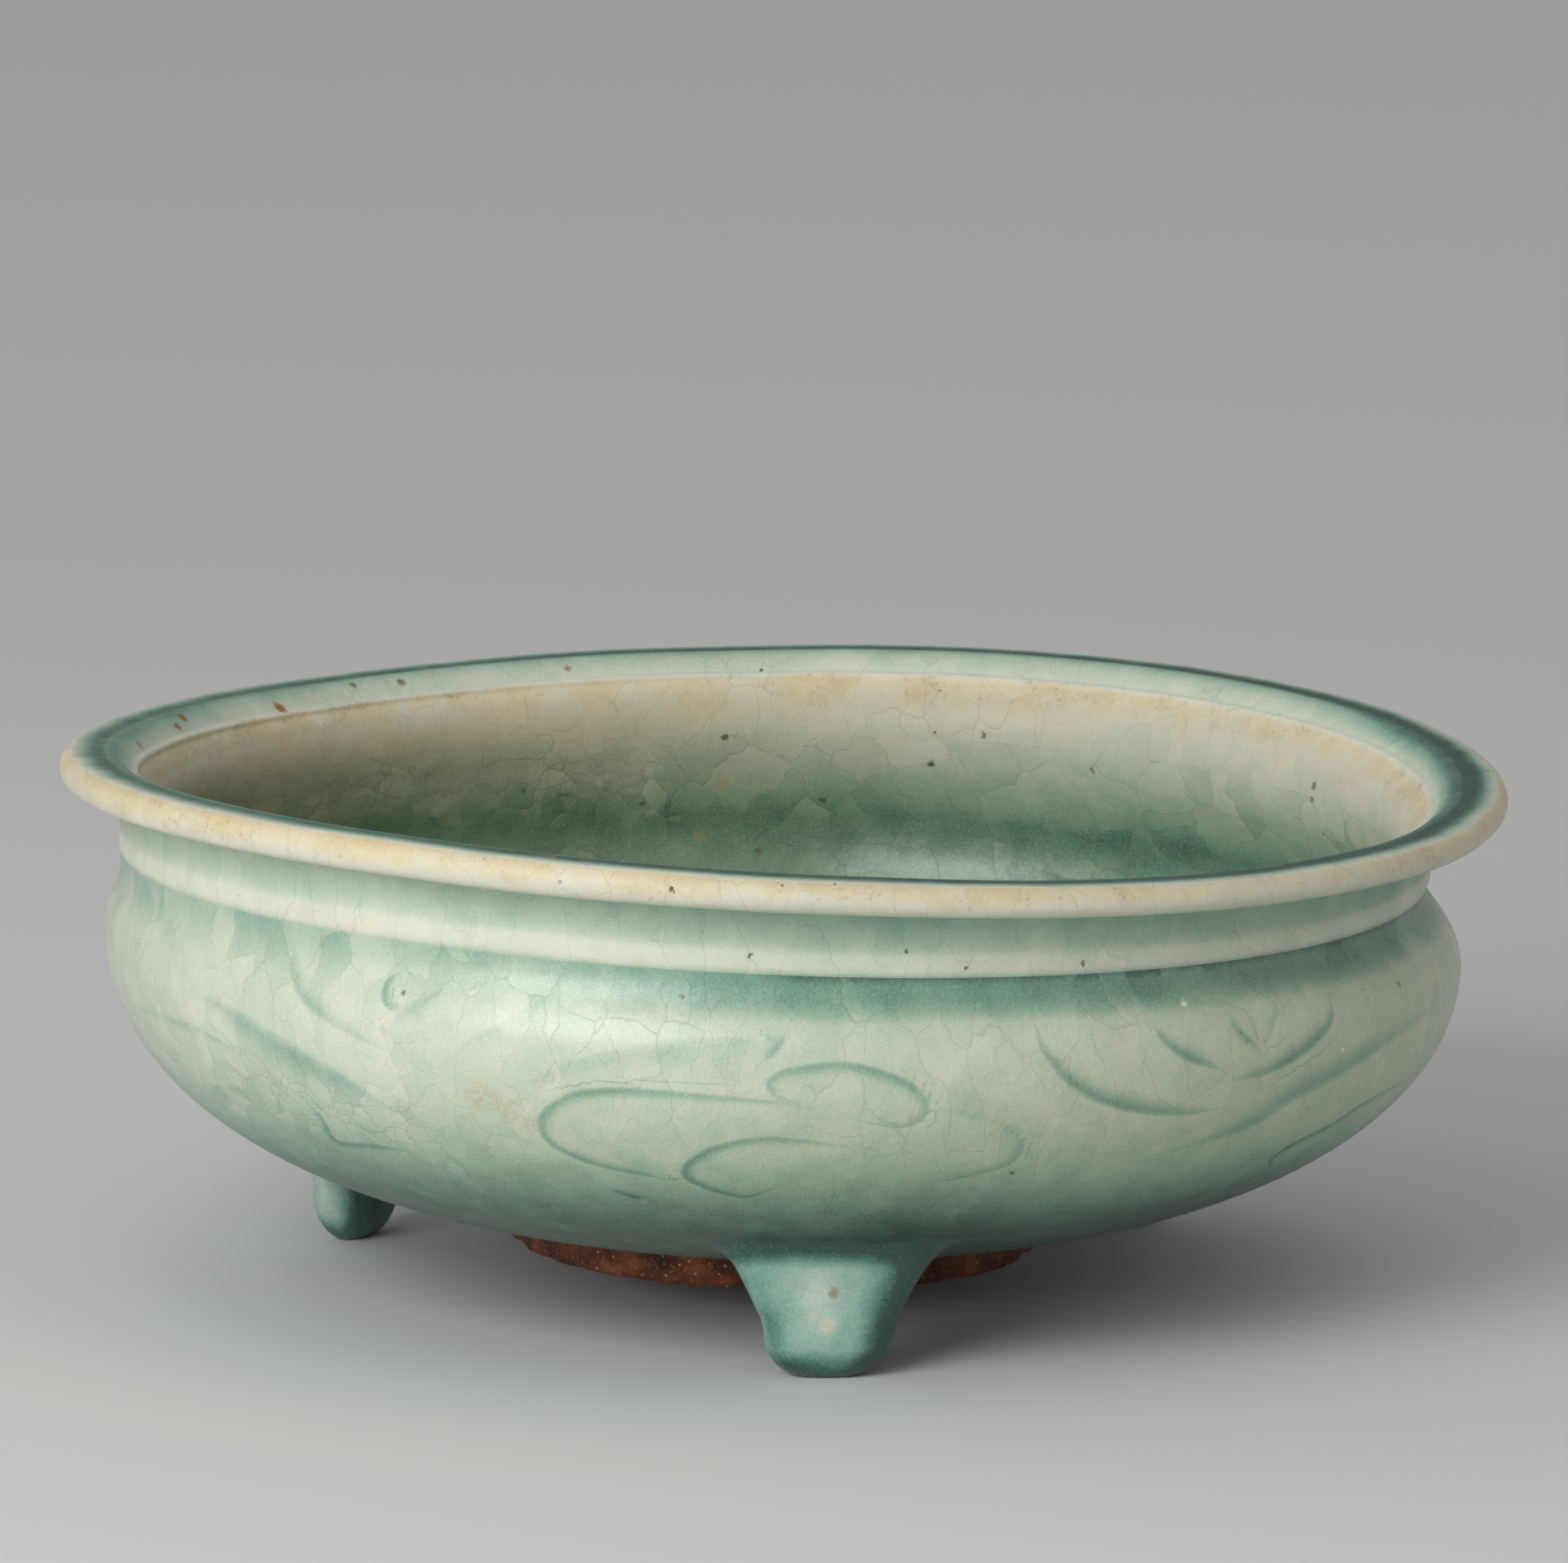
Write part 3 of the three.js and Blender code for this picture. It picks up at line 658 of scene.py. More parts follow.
RIM_MARKS = [
    (-101.9, 42.7, 87.1, 1.9, RUST, 0.9), (-102.4, 38.3, 86.2, 1.6, RUST, 0.85),
    (-103.8, 40.6, 86.6, 1.2, RUST, 0.7), (-86.1, 66.1, 84.8, 1.9, RUST, 0.9),
    (-87.3, 66.3, 85.1, 1.2, RUST, 0.7), (-107.8, 16.5, 86.6, 1.7, RUST, 0.6),
    (-74.3, 81.7, 86.4, 1.2, OLIVE, 0.7), (-66.1, 87.6, 85.9, 1.4, OLIVE, 0.75),
    (-37.8, 102.9, 86.1, 1.2, RUST, 0.7), (-36.6, -108.8, 89.9, 1.3, RUST, 0.8),
    (-17.2, -118.7, 86.4, 0.7, IRON, 0.9), (0.2, -119.3, 87.2, 0.6, IRON, 0.8),
    (34.2, 96.7, 75.8, 0.9, OLIVE, 0.8),
    (89.6, 48.7, 75.4, 1.2, OLIVE, 0.8), (29.4, -104.3, 71.7, 0.6, IRON, 0.8),
    (19.9, -106.7, 74.7, 0.6, IRON, 0.8), (-4.8, -108.8, 74.2, 0.6, IRON, 0.8),
    (106.1, 12.7, 81.6, 0.9, OLIVE, 0.6), (48.2, -96.8, 71.1, 0.6, IRON, 0.7),
]
INSIDE_MARKS = [
    (-10.6, 102.6, 74.2, 1.1, OLIVE, 0.9), (25.2, 100.1, 70.2, 1.1, OLIVE, 0.95),
    (6.3, 105.6, 62.7, 1, OLIVE, 0.9), (-24.9, 103.2, 62.4, 0.8, OLIVE, 0.8),
    (-4.8, 106.3, 53.5, 1, OLIVE, 0.8), (89.3, 48.8, 73.1, 1.2, OLIVE, 0.6),
    (-45.3, 95.2, 65.7, 0.9, OLIVE, 0.8), (-10.9, 104.5, 65.8, 1.8, STAIN, 0.5),
    (-15, 105.6, 56.2, 1.8, STAIN, 0.45), (52.6, 88, 71.1, 0.9, OLIVE, 0.7),
]
LEG_MARKS = [(8.7, -83.6, 14.4, 1.5, SMUDGE, 0.75), (7.7, -84.2, 9.2, 2.2, CREAM, 0.6),
             (5.3, -84.2, 10.8, 1.4, CREAM, 0.5)]


def crackle_nodes(g, place, width, height):
    """Uneven flakes with wavy edges, in mm: their edge lines, their tilt, and a chance value for each."""
    slow = g.vector("MULTIPLY", g.wander(place, 0.08), (1.2 * width, 1.2 * width, 0.6 * height))
    quick = g.vector("MULTIPLY", g.wander(place, 0.35), (1.6, 1.6, 2))
    warped = g.vector("ADD", g.vector("ADD", place, slow), quick)
    warped = g.vector("DIVIDE", warped, (width, width, height))
    cell = g.cells(warped, 1)
    edge = g.cells(warped, 1, "DISTANCE_TO_EDGE").outputs["Distance"]
    chance = g.vector("SUBTRACT", cell.outputs["Color"], (0.5,) * 3)
    shown = g.span(g.noise(place, 0.06, 3), 0.38, 0.64, 0.2, 1)
    line = g.times(g.span(edge, 0.04 / width, 0.15 / width, 1, 0), shown)
    tilt = g.measure("DOT_PRODUCT", g.vector("SUBTRACT", warped, cell.outputs["Position"]), chance)
    return line, tilt, g.parts(chance)[0]


def iron_dots(g, place):
    """Where the iron specks are: in some cells of a wide net, each of its own size and strength."""
    speck = g.cells(place, 0.23)
    luck, strength, _ = g.parts(speck.outputs["Color"])
    outside_dot = g.math("SUBTRACT", speck.outputs["Distance"], g.span(luck, 0.55, 1, 0, 0.085))
    dot = g.times(g.span(outside_dot, -0.03, 0.01, 1, 0), g.span(strength, 0.3, 0.8, 0.15, 0.8))
    return g.times(dot, g.math("GREATER_THAN", luck, 0.6))


def spotted(g, place, colour, marks):
    """Lays marks over a colour, each a ragged round spot, and a crumbly one where it is a scuff."""
    ragged = g.vector("ADD", place, g.vector("MULTIPLY", g.wander(place, 0.9, 3), (1.6,) * 3))
    crumbs = g.span(g.noise(place, 1.9, 4, 0.8), 0.44, 0.57)
    for *centre, size, tone, strength in marks:
        share = g.span(g.measure("DISTANCE", ragged, centre), 0.25 * size, 0.85 * size, strength, 0)
        if tone in (PALE, SCUFF):
            share = g.times(share, crumbs)
        colour = g.mix(share, colour, tone)
    return colour


def blank(name):
    """A new material without nodes, its graph, and the place on the piece in mm."""
    material = bpy.data.materials.new(name)
    material.use_nodes = True
    material.node_tree.nodes.clear()
    g = Graph(material.node_tree)
    return material, g, g.vector("MULTIPLY", g.add("ShaderNodeTexCoord").outputs["Object"], (1 / MM,) * 3)


def celadon(name, pooled, stain=0.15, crackle=1, cell_width=6.5, cell_height=17, step=0.6, gloss=0.36,
            shine=0.5, grainy=0.44, flaky=0, washed=None, wash=INSIDE_SHADE_AND_BROWN, marks=()):
    """The glaze. `pooled` adds the nodes that say how deep it lies, from a Graph and a sideways step in mm
    at the crackle lines, where the eye sees the glaze's depth jump. The crackle's cells are in mm. `flaky`
    adds to the share that has small flakes, and `washed` adds the nodes that say where `wash` tints it."""
    material, g, place = blank(name)
    line, tilt, chance_x = crackle_nodes(g, place, cell_width, cell_height)
    # Small flakes come in patches, more of them low and at the left.
    spread = g.math("ADD", g.measure("DOT_PRODUCT", place, (-0.0016, 0, -0.005)), g.noise(place, 0.035))
    patch = g.span(spread, 0.36 - flaky, 0.52 - flaky)
    fine_line, fine_tilt, _ = crackle_nodes(g, place, 6.5, 4.2)
    line = g.math("MAXIMUM", line, g.times(g.times(fine_line, patch), 1.6))
    fine_tilt = g.times(fine_tilt, patch)
    tilt = g.added(tilt, (fine_tilt, 1.2))
    # How deep the glaze lies: a little deeper towards the right, partly thicker glaze there and partly
    # painted shade on the side away from the lamp.
    grain, cloud, broad = (g.math("SUBTRACT", g.noise(place, *made), 0.5)
                           for made in ((2.4, 4, 0.75), (0.16, 3), (0.03,)))
    depth = g.times(pooled(g, g.times(chance_x, step)), g.added(1, (g.parts(place)[0], 0.0008)))
    depth = g.added(depth, (grain, grainy), (cloud, 0.22), (broad, 0.16), (chance_x, 0.06),
                    (fine_tilt, 0.18 * min(crackle, 1)))
    depth = g.math("MINIMUM", g.math("MAXIMUM", depth, 0), 1)
    colour = g.ramp(depth, GLAZE_DEPTHS)
    # Tan stains where the glaze is thin, iron specks, and bubbles that show in the deep glaze.
    soil = g.noise(g.vector("MULTIPLY", place, (1, 1, 1.6)), 0.11, 6, 0.7)
    soiled = g.times(g.span(soil, 0.44, 0.76, 0, stain), g.span(depth, 0.08, 0.4, 1, 0.15))
    colour = g.mix(soiled, colour, STAIN)
    if washed:
        colour = g.mix(washed(g, place), colour, wash, "MULTIPLY")
    colour = g.mix(g.times(line, 0.15 * crackle), colour, CRACK)
    grit = g.span(g.noise(place, 1.1, 5, 0.7), 0.55, 0.68, 0, 2.2 * stain)
    grit = g.math("MULTIPLY", grit, g.span(soil, 0.46, 0.6), clamp=True)
    colour = g.mix(g.times(grit, g.span(depth, 0.1, 0.3, 1, 0)), colour, GRIT)
    dot = iron_dots(g, place)
    colour = g.mix(dot, colour, IRON)
    fizz = g.cells(place, 1.5).outputs["Distance"]
    bubbles = g.times(g.span(fizz, 0.06, 0.16, 0.55, 0), g.span(depth, 0.45, 0.8))
    colour = g.mix(bubbles, colour, BUBBLE)
    colour = spotted(g, place, colour, marks)
    # The surface: flakes tilted at the crackle, fine orange peel and pinholes.
    height = g.added(g.times(tilt, 0.5 * crackle), (line, -0.02 * crackle), (grain, 0.03), (dot, -0.05),
                     (cloud, 0.3))
    g.surface(height, {"Base Color": colour, "Roughness": g.added(gloss, (grain, 0.25), (line, 0.15)),
                       "Coat Weight": 0.5 * shine, "Coat Roughness": 0.22, "Specular IOR Level": shine})
    return material


def bands(stops, total):
    """How deep the glaze lies along an outline: (millimetres along, depth) stops."""
    def pooled(g, step):
        along = g.math("ADD", g.attribute("along"), step)
        ramp = g.ramp(g.math("DIVIDE", along, total), [(place / total, depth) for place, depth in stops])
        return g.add("ShaderNodeSeparateColor", {"Color": ramp}).outputs[0]
    return pooled


def carved_bands(stops, total):
    """The belly's bands, and the pools in the cuts of the scroll."""
    plain = bands(stops, total)

    def pooled(g, step):
        full = CUT_HIGH - CUT_LOW
        across = g.math("DIVIDE", g.math("SUBTRACT", g.attribute("across_cut"), CUT_LOW), full)
        section = g.ramp(across, [((place - CUT_LOW) / full, depth) for place, depth in CUT_SECTION])
        cut = g.times(section, g.attribute("cut"))
        return g.added(plain(g, step), (cut, 0.4))
    return pooled


def painted(g, step):
    """How deep the glaze lies, as kept in the mesh."""
    return g.attribute("pool")


def filmed(g, place):
    """How much of an olive film lies on the belly: patchy, and most of it low and at the right."""
    low = g.measure("DOT_PRODUCT", place, (0.003, 0, -0.014))
    return g.span(g.math("ADD", low, g.noise(place, 0.09, 3)), -0.55, 0.2, 0.1, 1)


def shade_and_brown_inside(g, place):
    """How far the inside is browned and darkened, most at its left: partly a brown stain and partly painted
    shade on the wall turned away from the lamp.
    """
    return g.span(g.parts(place)[0], -100, 90, 1, 0.35)


def shade_and_brown_neck(g, place):
    """The same browning and painted shade inside the neck, a little on the lip, and nothing on the neck
    outside.
    """
    radius = g.measure("LENGTH", g.vector("MULTIPLY", place, (1, 1, 0)))
    neck = g.times(g.span(radius, 103.5, 107.5, 1, 0), shade_and_brown_inside(g, place))
    return g.math("ADD", neck, g.span(radius, 110.5, 114, 0, 0.16))


INSIDE_GLAZE = {"stain": 0.4, "crackle": 1.6, "step": 2, "cell_width": 9, "cell_height": 9, "flaky": 0.2,
                "washed": shade_and_brown_inside}


def bare_clay():
    """Fired stoneware clay: red-brown, gritty, with tan and dark specks."""
    material, g, place = blank("bare_clay")
    patch = g.noise(place, 0.16, 4, 0.6)
    colour = g.ramp(patch, [(0.3, tint(56, 26, 14)), (0.45, tint(92, 43, 22)), (0.58, tint(124, 62, 34)),
                            (0.72, tint(150, 90, 56))])
    grain = g.noise(place, 1.6, 4, 0.7)
    colour = g.mix(g.span(grain, 0.52, 0.7, 0, 0.5), colour, tint(178, 144, 108))
    colour = g.mix(g.span(grain, 0.32, 0.44, 0.7, 0), colour, tint(48, 24, 17))
    grit = g.cells(place, 0.8)
    pale = g.span(grit.outputs["Distance"], 0.1, 0.2, 0.75, 0)
    pale = g.times(pale, g.math("GREATER_THAN", g.parts(grit.outputs["Color"])[0], 0.7))
    colour = g.mix(pale, colour, tint(214, 188, 152))
    g.surface(g.added(g.times(patch, 0.5), (grain, 0.35)),
              {"Base Color": colour, "Roughness": g.span(grain, 0.3, 0.7, 0.7, 0.95)})
    return material


# The pieces.

def finish_piece(piece, node):
    piece.data.set_sharp_from_angle(angle=SHARP_EDGE)
    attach(piece, "root")
    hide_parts(node)


def use_on(mesh, faces, material):
    """Gives some faces another finish."""
    mesh.materials.append(material)
    index = read(mesh.polygons, "material_index")
    index[faces] = len(mesh.materials) - 1
    mesh.polygons.foreach_set("material_index", index)


def face_means(mesh, values):
    """The mean of a point value over each face."""
    starts, corners = read(mesh.polygons, "loop_start"), read(mesh.loops, "vertex_index")
    return np.add.reduceat(values[corners], starts) / np.diff([*starts, len(corners)])


# How deep the glaze lies on the belly, outside going up and inside going down: (millimetres up, depth).
# Low on the outside the deep teal is partly pooled glaze and partly painted shade under the belly.
OUTSIDE_DEPTHS_AND_SHADE = [(0, 0.94), (21, 1), (25, 0.97), (29, 0.85), (34, 0.67), (41, 0.48), (50, 0.4),
                  (60, 0.37), (63.7, 0.39), (65.4, 0.6), (67, 0.71), (70, 0.74), (70.8, 0.9)]
# Inside, the darker band from about 53 to 65 mm is partly pooled glaze and partly painted shade below the
# neck.
INSIDE_DEPTHS_AND_SHADE = [(74.4, 0.3), (71, 0.36), (68, 0.43), (65, 0.53), (62, 0.66), (60, 0.76), (57, 0.76),
                 (53, 0.66), (34, 0.7), (22, 0.8)]
GROOVE_HEIGHT = 63.7

# Places along an outline that are nearer than this (mm) count as one.
TOUCH = 0.01


def make_belly():
    points, seam_end = belly_profile()
    at = lengths([*points, points[0]]) / MM
    heights = np.array([z for _, z in points]) / MM
    outside, inside = slice(seam_end), slice(len(points) - 3, seam_end + 1, -1)

    def along_at(height, side):
        return np.interp(height, heights[side], at[side])

    outer = [(along_at(height, outside), depth) for height, depth in OUTSIDE_DEPTHS_AND_SHADE]
    inner = [(along_at(height, inside), depth) for height, depth in INSIDE_DEPTHS_AND_SHADE]
    outside_glaze = celadon("celadon_belly", carved_bands(outer, at[-1]), stain=0.2, washed=filmed, wash=FILM,
                            marks=BELLY_MARKS)
    inside_glaze = celadon("celadon_inside", bands(inner, at[-1]), marks=INSIDE_MARKS, **INSIDE_GLAZE)
    belly = thrown("belly", points, outside_glaze)
    mesh = belly.data
    form = points_of(mesh)
    along = values_of(mesh, "along")
    is_outside = (along <= at[seam_end - 1] + TOUCH) & (form[:, 2] > 15 * MM)
    # The pool under the seam is lighter on the left: partly thinner glaze, where it ran off, and partly a
    # painted highlight from the lamp at the left.
    groove = along_at(GROOVE_HEIGHT, outside)
    thinner_and_lit = 0.7 * fall(form[:, 0] / MM, 6, 45) * is_outside
    store(mesh, "along", np.where(along > groove, groove + (along - groove) * (1 - thinner_and_lit), along))
    across, strength, depth = carve(form, is_outside)
    store(mesh, "across_cut", across)
    store(mesh, "cut", strength)
    # It swells between the base and the seam.
    swell = swelled(form, BELLY_SWELL)
    middle = rise(form[:, 2], 24 * MM, 10 * MM) * fall(form[:, 2], 66 * MM, 6 * MM)
    move = np.where(is_outside, swell * middle - depth * CUT_DEPTH, 0)
    settle(mesh, form + radially(form) * move[:, None])
    use_on(mesh, face_means(mesh, along) > at[seam_end + 2] - TOUCH, inside_glaze)
    use_on(mesh, face_means(mesh, polar(form)[0]) < DISC_RADIUS - 0.05 * MM, CLAY)
    finish_piece(belly, "belly")


def make_rim():
    points, ends = rim_profile()
    at = lengths([*points, points[0]]) / MM
    mark = {name: at[index] for name, index in ends.items()}
    edge = mark["edge"] - mark["underside"]
    slope = mark["slope"] - mark["flat"]
    # How deep the glaze lies: at the foot, and then so many mm past the end of each stretch.
    stops = [(0, 0.6), (0.5, 0.38), (1.4, 0.26), (3.4, 0.28), (4.6, 0.44)]
    depths = {
        # The deep teal over the top of the edge and on the flat is partly pooled glaze and partly painted
        # shade on the upturned ledge; the deeper fillet under the lip is partly pooled glaze and partly
        # painted shade.
        "crown_high": [(0, 0.5)], "neck": [(0, 0.54)], "fillet": [(0, 0.62)],
        "underside": [(0, 0.47), (0.12 * edge, 0.34), (0.36 * edge, 0.22), (0.62 * edge, 0.1),
                      (0.84 * edge, 0.07)],
        "edge": [(-1.1, 0.2), (0.2, 0.46), (1.5, 0.78), (2.8, 0.97)],
        "flat": [(-0.6, 0.97), (0.2 * slope, 0.6), (0.6 * slope, 0.4)], "slope": [(0, 0.3)],
        "mouth": [(0, 0.08), (2, 0.12), (5, 0.2)], "inner": [(0, 0.3)]}
    stops += [(mark[stretch] + past, depth) for stretch, rows in depths.items() for past, depth in rows]
    glaze = celadon("celadon_rim", bands(stops, at[-1]), stain=0.28, crackle=0.8, step=0.15, gloss=0.46,
                    shine=0.12, grainy=0.32, washed=shade_and_brown_neck, marks=RIM_MARKS)
    rim = thrown("rim_collar", points, glaze)
    form = points_of(rim.data)
    # On the slope the flat's dark teal runs on down to the mouth at the front and sides, and gives way to
    # lighter colour sooner at the back.
    along = values_of(rim.data, "along")
    down = rise(along, mark["flat"], slope)
    back = rise(form[:, 1] / RIM_RADIUS + 0.3 * unevenness(form, 30, 12), 0.15, 0.4)
    on_slope = (along > mark["flat"]) & (along < mark["slope"])
    store(rim.data, "along", np.where(on_slope, mark["flat"] + slope * down ** (2.6 - 1.8 * back), along))
    free = rise(form[:, 2], SEAM_HEIGHT + TONGUE_HEIGHT, 5 * MM)
    form = form + radially(form) * (swelled(form, LIP_SWELL) * free)[:, None]
    form[:, 2] += swelled(form, LIP_WAVE) * free
    settle(rim.data, form)
    finish_piece(rim, "rim_collar")


def make_floor():
    top = inside_at(DISC_RADIUS)
    bottom = top - DISC_THICKNESS
    bevel = 0.8 * MM
    dish = 0.9 * MM
    points = [(0, bottom)]
    for end, steps in (((DISC_RADIUS - bevel, bottom), 12), ((DISC_RADIUS, bottom + bevel), 3),
                       ((DISC_RADIUS, top), 5), ((0, top), 24)):
        points += run(points[-1], end, steps)
    floor = thrown("floor_disc", points, celadon("celadon_floor", painted, **INSIDE_GLAZE))
    form = points_of(floor.data)
    radius, _ = polar(form)
    upper = form[:, 2] > top - 0.1 * MM
    form[upper, 2] -= dish * (1 - (radius[upper] / DISC_RADIUS) ** 2)
    form[upper, 2] += swelled(form[upper], FLOOR_SWELL) * (1 - radius[upper] / DISC_RADIUS)
    store(floor.data, "pool", 0.84 - 0.04 * (radius / DISC_RADIUS))
    under = form[:, 2] < bottom + 0.5 * MM
    settle(floor.data, form)
    use_on(floor.data, face_means(floor.data, under.astype(float)) > 0.9, CLAY)
    finish_piece(floor, "floor_disc")


def make_foot_ring():
    inner = FOOT_RING_RADIUS - FOOT_RING_WIDTH
    bottom = underside_at(FOOT_RING_RADIUS) - FOOT_RING_HEIGHT
    ease = 0.9 * MM
    outer_top = underside_at(FOOT_RING_RADIUS) + 0.1 * MM
    points = [(inner, underside_at(inner))]
    for curve, *corners, steps in (
            (run, (inner, bottom + 2 * ease), 6), (bend, (inner, bottom), (inner + 2 * ease, bottom), 5),
            (run, (FOOT_RING_RADIUS - 2 * ease, bottom), 6),
            (bend, (FOOT_RING_RADIUS, bottom), (FOOT_RING_RADIUS, bottom + 2 * ease), 6),
            (run, (FOOT_RING_RADIUS, outer_top), 12)):
        points += curve(points[-1], *corners, steps)
    ring = thrown("foot_ring", points, CLAY)
    form = points_of(ring.data)
    # Large and small chips, deepest at the outer edge of the bottom.
    low = fall(form[:, 2], bottom + 3.2 * MM, 3 * MM)
    radius, _ = polar(form)
    outer = rise(radius, inner + FOOT_RING_WIDTH * 0.45, FOOT_RING_WIDTH * 0.4)
    chips = np.clip(unevenness(form, 6.5, 7) * 1.6 - 0.25, 0, 1)
    chips += 0.5 * np.clip(unevenness(form, 2.2, 8) - 0.1, 0, 1)
    bite = chips * low * (0.35 + 0.65 * outer)
    form[:, 2] += bite * CHIP_HEIGHT
    middle = np.clip((form[:, 2] - bottom) / MM, 0.3, 1) * fall(form[:, 2], underside_at(radius), MM)
    move = swelled(form, RING_SWELL) * middle - bite * outer * CHIP_DEPTH
    settle(ring.data, form + radially(form) * move[:, None])
    finish_piece(ring, "foot_ring")


# How high the underside of the level bowl is over the middle of a leg.
LEVEL_TOP = underside_at(LEG_CIRCLE_RADIUS)


def leg_half_width(height):
    drop = fall(height, TOE_HEIGHT, TOE_HEIGHT)
    toe = SOLE_HALF_WIDTH + (LEG_HALF_WIDTH - SOLE_HALF_WIDTH) * np.sqrt(1 - drop ** 2)
    return toe + LEG_FLARE * np.maximum(height - TOE_HEIGHT, 0)


def root_half_width(height):
    """The leg with the clay that is smoothed round its root: it eases out of the leg and flares upwards."""
    flare = ROOT_SPREAD * (np.maximum(height - ROOT_FLARE_START, 0) / MM) ** 1.5 * MM
    return leg_half_width(height) + ROOT_EDGE * eased(rise(height, ROOT_START, ROOT_EASE)) + flare


def to_leg_place(form, turn, top_share, fillet, toe_round, skew):
    """Squeezes a turned form to the leg's section, bends its root to the bowl and puts it in its place.
    The outer face leans back: its depth falls to `top_share` of its width. The `fillet` is how far the
    root runs out under the bowl, `toe_round` how much narrower the sole is, `skew` the lean sideways."""
    radius, angle = polar(form)
    up = form[:, 2]
    cosine, sine = np.cos(angle), np.sin(angle)
    square = (np.abs(cosine) ** LEG_SQUARENESS + np.abs(sine) ** LEG_SQUARENESS) ** (-1 / LEG_SQUARENESS)
    radius = radius * square * (1 - toe_round * fall(up, TOE_HEIGHT, TOE_HEIGHT))
    front = LEG_DEPTH_SHARE + (top_share - LEG_DEPTH_SHARE) * rise(up, TOE_HEIGHT, FACE_HEIGHT)
    x, y = radius * cosine, radius * sine * np.where(sine < 0, front, LEG_DEPTH_SHARE)
    lumps = swelled(np.column_stack([x, y, up]), LEG_SWELL)
    lumps = lumps + fillet * (1 - np.sqrt(1 - rise(up, LEVEL_TOP - ROOT_FILLET, ROOT_FILLET) ** 2))
    x, y = x + cosine * lumps + skew * up, y + sine * lumps - LEG_CIRCLE_RADIUS
    follow = np.maximum((up - ROOT_START) / (LEVEL_TOP - ROOT_START), 0)
    z = up + follow * (underside_at(np.hypot(x, y)) - LEVEL_TOP)
    c, s = math.cos(turn), math.sin(turn)
    x, y = x * c - y * s, x * s + y * c
    # The root's points lift with the leaning bowl above them.
    z -= rise(z, ROOT_START, ROOT_LIFT_HEIGHT) * math.sin(BOWL_LEAN) * x
    return np.column_stack([x, y, z])


# Spots on a leg's glaze: (radians round from the facet, mm up, how wide in radians, how tall in mm, depth).
LEG_SPOTS = [(-0.1, 14, 0.22, 3.5, -0.22), (0, 9.3, 0.17, 1.9, -0.16), (-0.95, 8, 0.3, 4, 0.2),
             (-0.35, 3.5, 0.4, 2.5, 0.12)]


def leg_pool(angle, height, facet):
    """The glaze on a leg: thin down its facet, deep at its sides, its foot and under the bowl. The deeper
    side and the band under the bowl are partly pooled glaze and partly painted shade.
    """
    away = (angle - facet + math.pi) % (2 * math.pi) - math.pi
    # The deeper of the two sides is partly pooled glaze and partly painted shade on the side away from the
    # lamp.
    side = np.where(away > 0, 0.45, 0.12) * eased(rise(np.abs(away), 0.3, 0.6))
    # The deep band under the bowl is partly pooled glaze and partly painted shade under the overhang.
    depth = 0.55 + side + 0.65 * rise(height, 17 * MM, 3.5 * MM) + 0.5 * fall(height, 5 * MM, 4 * MM)
    for spot_angle, spot_height, wide, tall, amount in LEG_SPOTS:
        near = ((away - spot_angle) / wide) ** 2 + ((height / MM - spot_height) / tall) ** 2
        depth = depth + amount * np.exp(-near)
    return np.clip(depth, 0, 1)


def make_leg(place, facet, toe_round=0, skew=0):
    """A leg and the clay round its root; `facet` is the angle of the face where the glaze is thin."""
    turn = LEG_TURNS[place]
    top = LEVEL_TOP + ROOT_OVERLAP
    toe = [TOE_HEIGHT * (1 - math.cos(t)) for t in np.linspace(0, math.pi / 2, 15)]
    heights = [*toe, *np.linspace(TOE_HEIGHT, top, 26)[1:]]
    leg_points = [(0, 0), (SOLE_HALF_WIDTH * 0.5, 0)]
    leg_points += [(leg_half_width(h), h) for h in heights] + [(5 * MM, top), (0, top)]
    rounding = LEVEL_TOP - ROOT_FILLET + ROOT_FILLET * np.sin(np.linspace(0, math.pi / 2, 12))
    root_heights = np.concatenate([np.linspace(ROOT_START, rounding[0], 21)[:-1], rounding, [top]])
    root_points = [(root_half_width(h), h) for h in root_heights]
    root_points += [(leg_half_width(h) - 0.4 * MM, h) for h in root_heights[::-3]]
    for name, points, top_share, fillet in (
            (f"leg_{place}", leg_points, LEG_TOP_SHARE, 0),
            (f"luting_coil_{place}", root_points, ROOT_TOP_SHARE, ROOT_FILLET)):
        piece = thrown(name, points, LEG_GLAZE)
        form = points_of(piece.data)
        store(piece.data, "pool", leg_pool(polar(form)[1], form[:, 2], facet))
        move_points(piece.data, to_leg_place(form, turn, top_share, fillet, toe_round, skew))
        finish_piece(piece, name)


# The studio: a pale floor, one large soft lamp at the front left, and an even pale surround.
FLOOR_HALF = 8
FLOOR_COLOUR = (0.72, 0.72, 0.71, 1)


def plain_floor():
    mesh = bpy.data.meshes.new("floor")
    corners = [(x * FLOOR_HALF, y * FLOOR_HALF, 0) for x, y in ((-1, -1), (1, -1), (1, 1), (-1, 1))]
    mesh.from_pydata(corners, [], [(0, 1, 2, 3)])
    floor = put_in_scene("floor", mesh)
    material = bpy.data.materials.new("pale_floor")
    material.use_nodes = True
    shader = material.node_tree.nodes["Principled BSDF"]
    shader.inputs["Base Color"].default_value = FLOOR_COLOUR
    shader.inputs["Roughness"].default_value = 0.9
    mesh.materials.append(material)


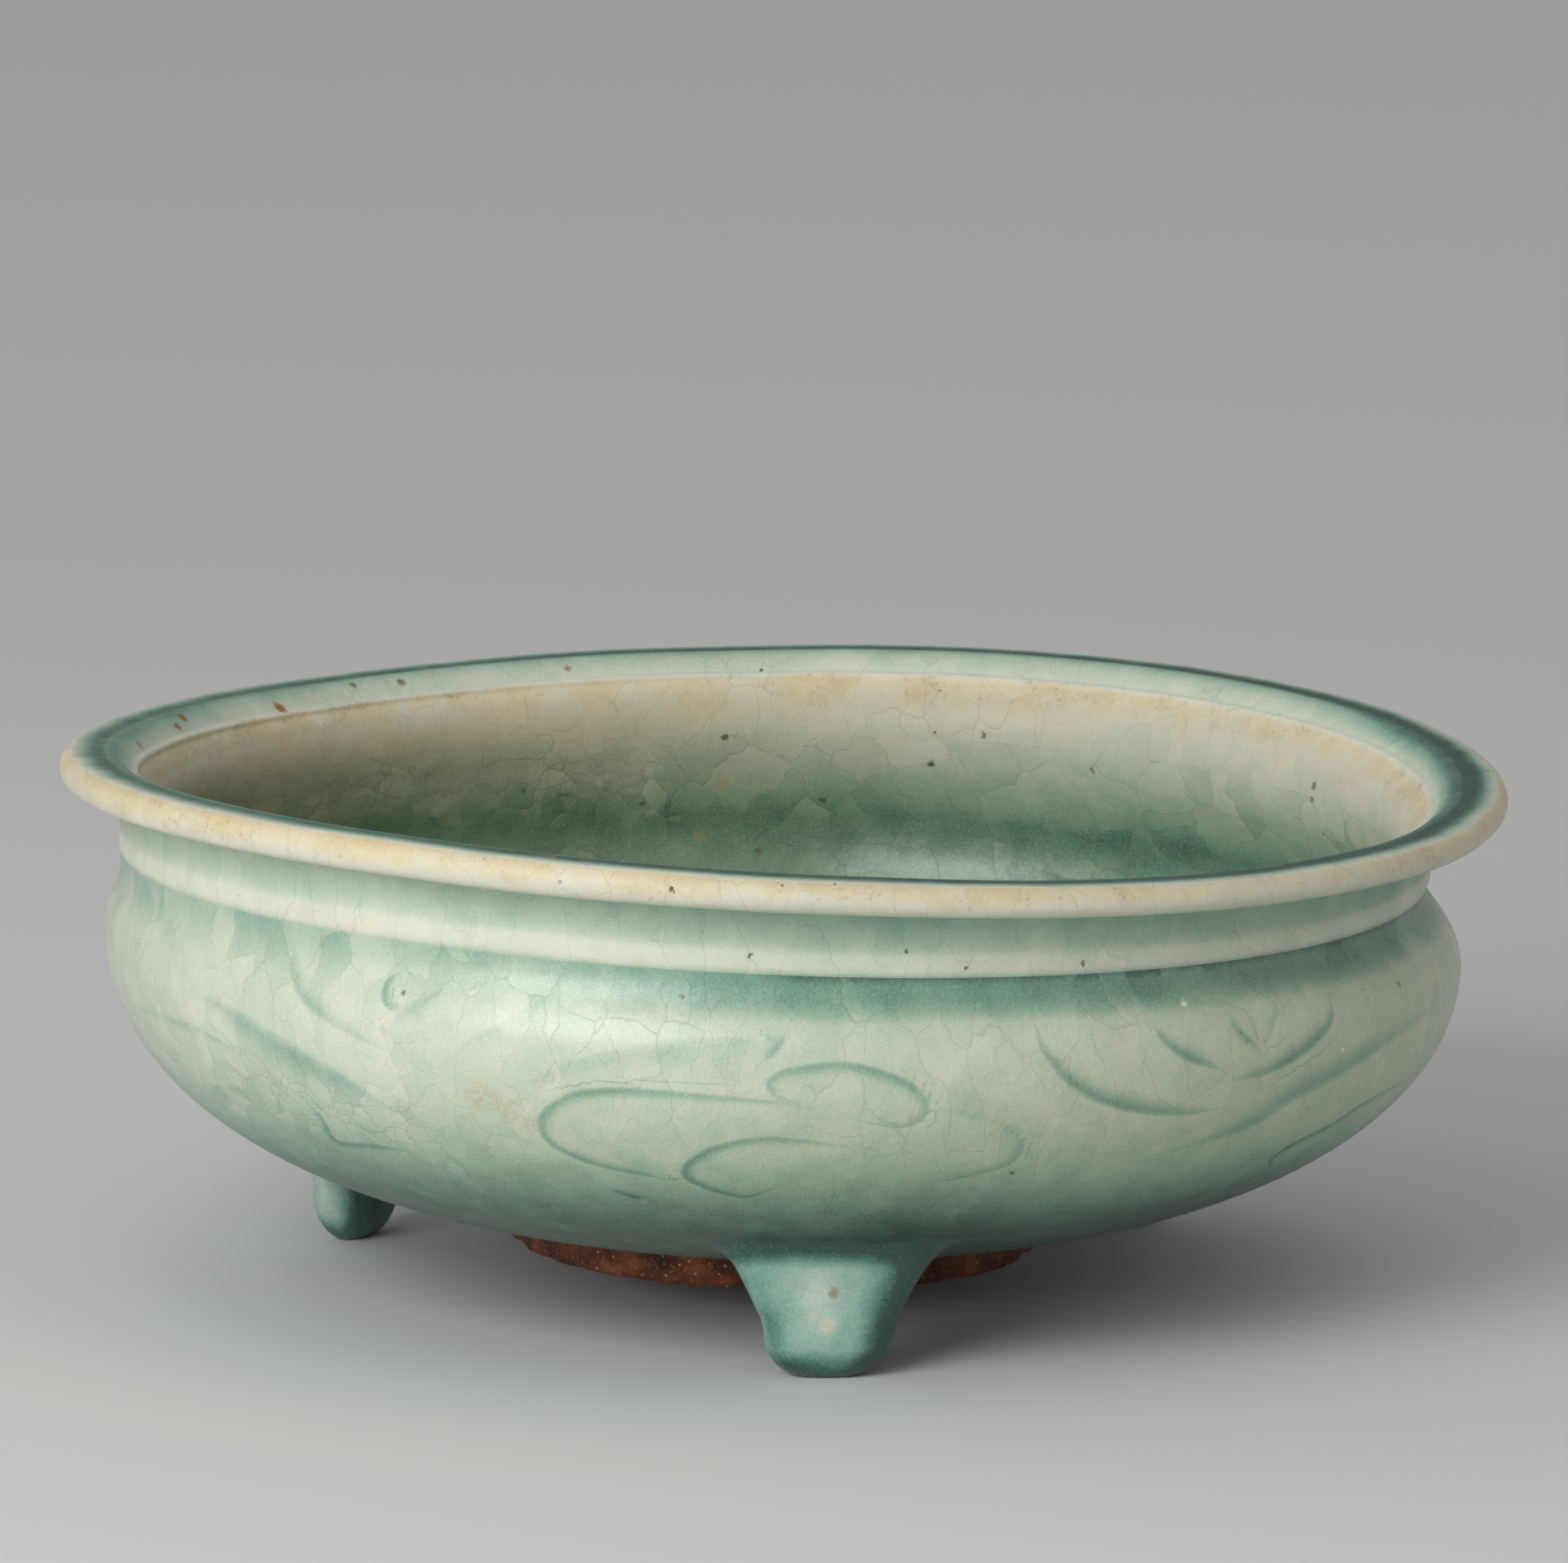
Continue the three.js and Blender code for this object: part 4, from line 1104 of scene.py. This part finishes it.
def lamp(name, azimuth, elevation, distance, size, power):
    """A square soft lamp that looks at the middle of the bowl, at degrees round from the front and up."""
    light = bpy.data.lights.new(name, "AREA")
    light.shape = "SQUARE"
    light.size = size
    light.energy = power
    made = put_in_scene(name, light)
    a, e = math.radians(azimuth), math.radians(elevation)
    towards = Vector((math.sin(a) * math.cos(e), -math.cos(a) * math.cos(e), math.sin(e)))
    made.location = towards * distance + Vector((0, 0, CAMERA_AIM_HEIGHT))
    made.rotation_euler = towards.to_track_quat("Z", "Y").to_euler()


def surround(strength):
    world = bpy.data.worlds.new("surround")
    world.use_nodes = True
    background = world.node_tree.nodes["Background"]
    background.inputs["Color"].default_value = (1, 1, 1, 1)
    background.inputs["Strength"].default_value = strength
    bpy.context.scene.world = world


def photo_camera():
    lens = bpy.data.cameras.new("photo_view")
    lens.sensor_fit = "HORIZONTAL"
    lens.sensor_width = SENSOR_WIDTH
    lens.lens = FOCAL_PIXELS / PHOTO_WIDTH * SENSOR_WIDTH
    lens.clip_end = 50
    camera = put_in_scene("photo_view", lens)
    stand = Vector((0, -CAMERA_DISTANCE * math.cos(CAMERA_RISE),
                    CAMERA_AIM_HEIGHT + CAMERA_DISTANCE * math.sin(CAMERA_RISE)))
    look = Matrix.Rotation(math.pi / 2 - CAMERA_PITCH, 4, "X") @ Matrix.Rotation(CAMERA_ROLL, 4, "Z")
    camera.matrix_world = bowl_place() @ Matrix.Translation(stand) @ look
    bpy.context.scene.camera = camera


WHEEL = wheel_tree()
CLAY = bare_clay()
LEG_GLAZE = celadon("celadon_leg", painted, stain=0.15, crackle=0.3, gloss=0.34,
                    washed=lambda g, place: 1, wash=LEG_WASH, marks=LEG_MARKS)

photo_camera()
plain_floor()
lamp("key", azimuth=-33, elevation=23, distance=1.5, size=0.9, power=15.5)
surround(strength=0.42)
bpy.context.scene.view_settings.view_transform = "Standard"

make_belly()
make_rim()
make_floor()
make_foot_ring()
make_leg("front", math.radians(-93), skew=0.045)
make_leg("rear_left", math.radians(-5), toe_round=0.1)
make_leg("rear_right", math.radians(-90), toe_round=0.1)
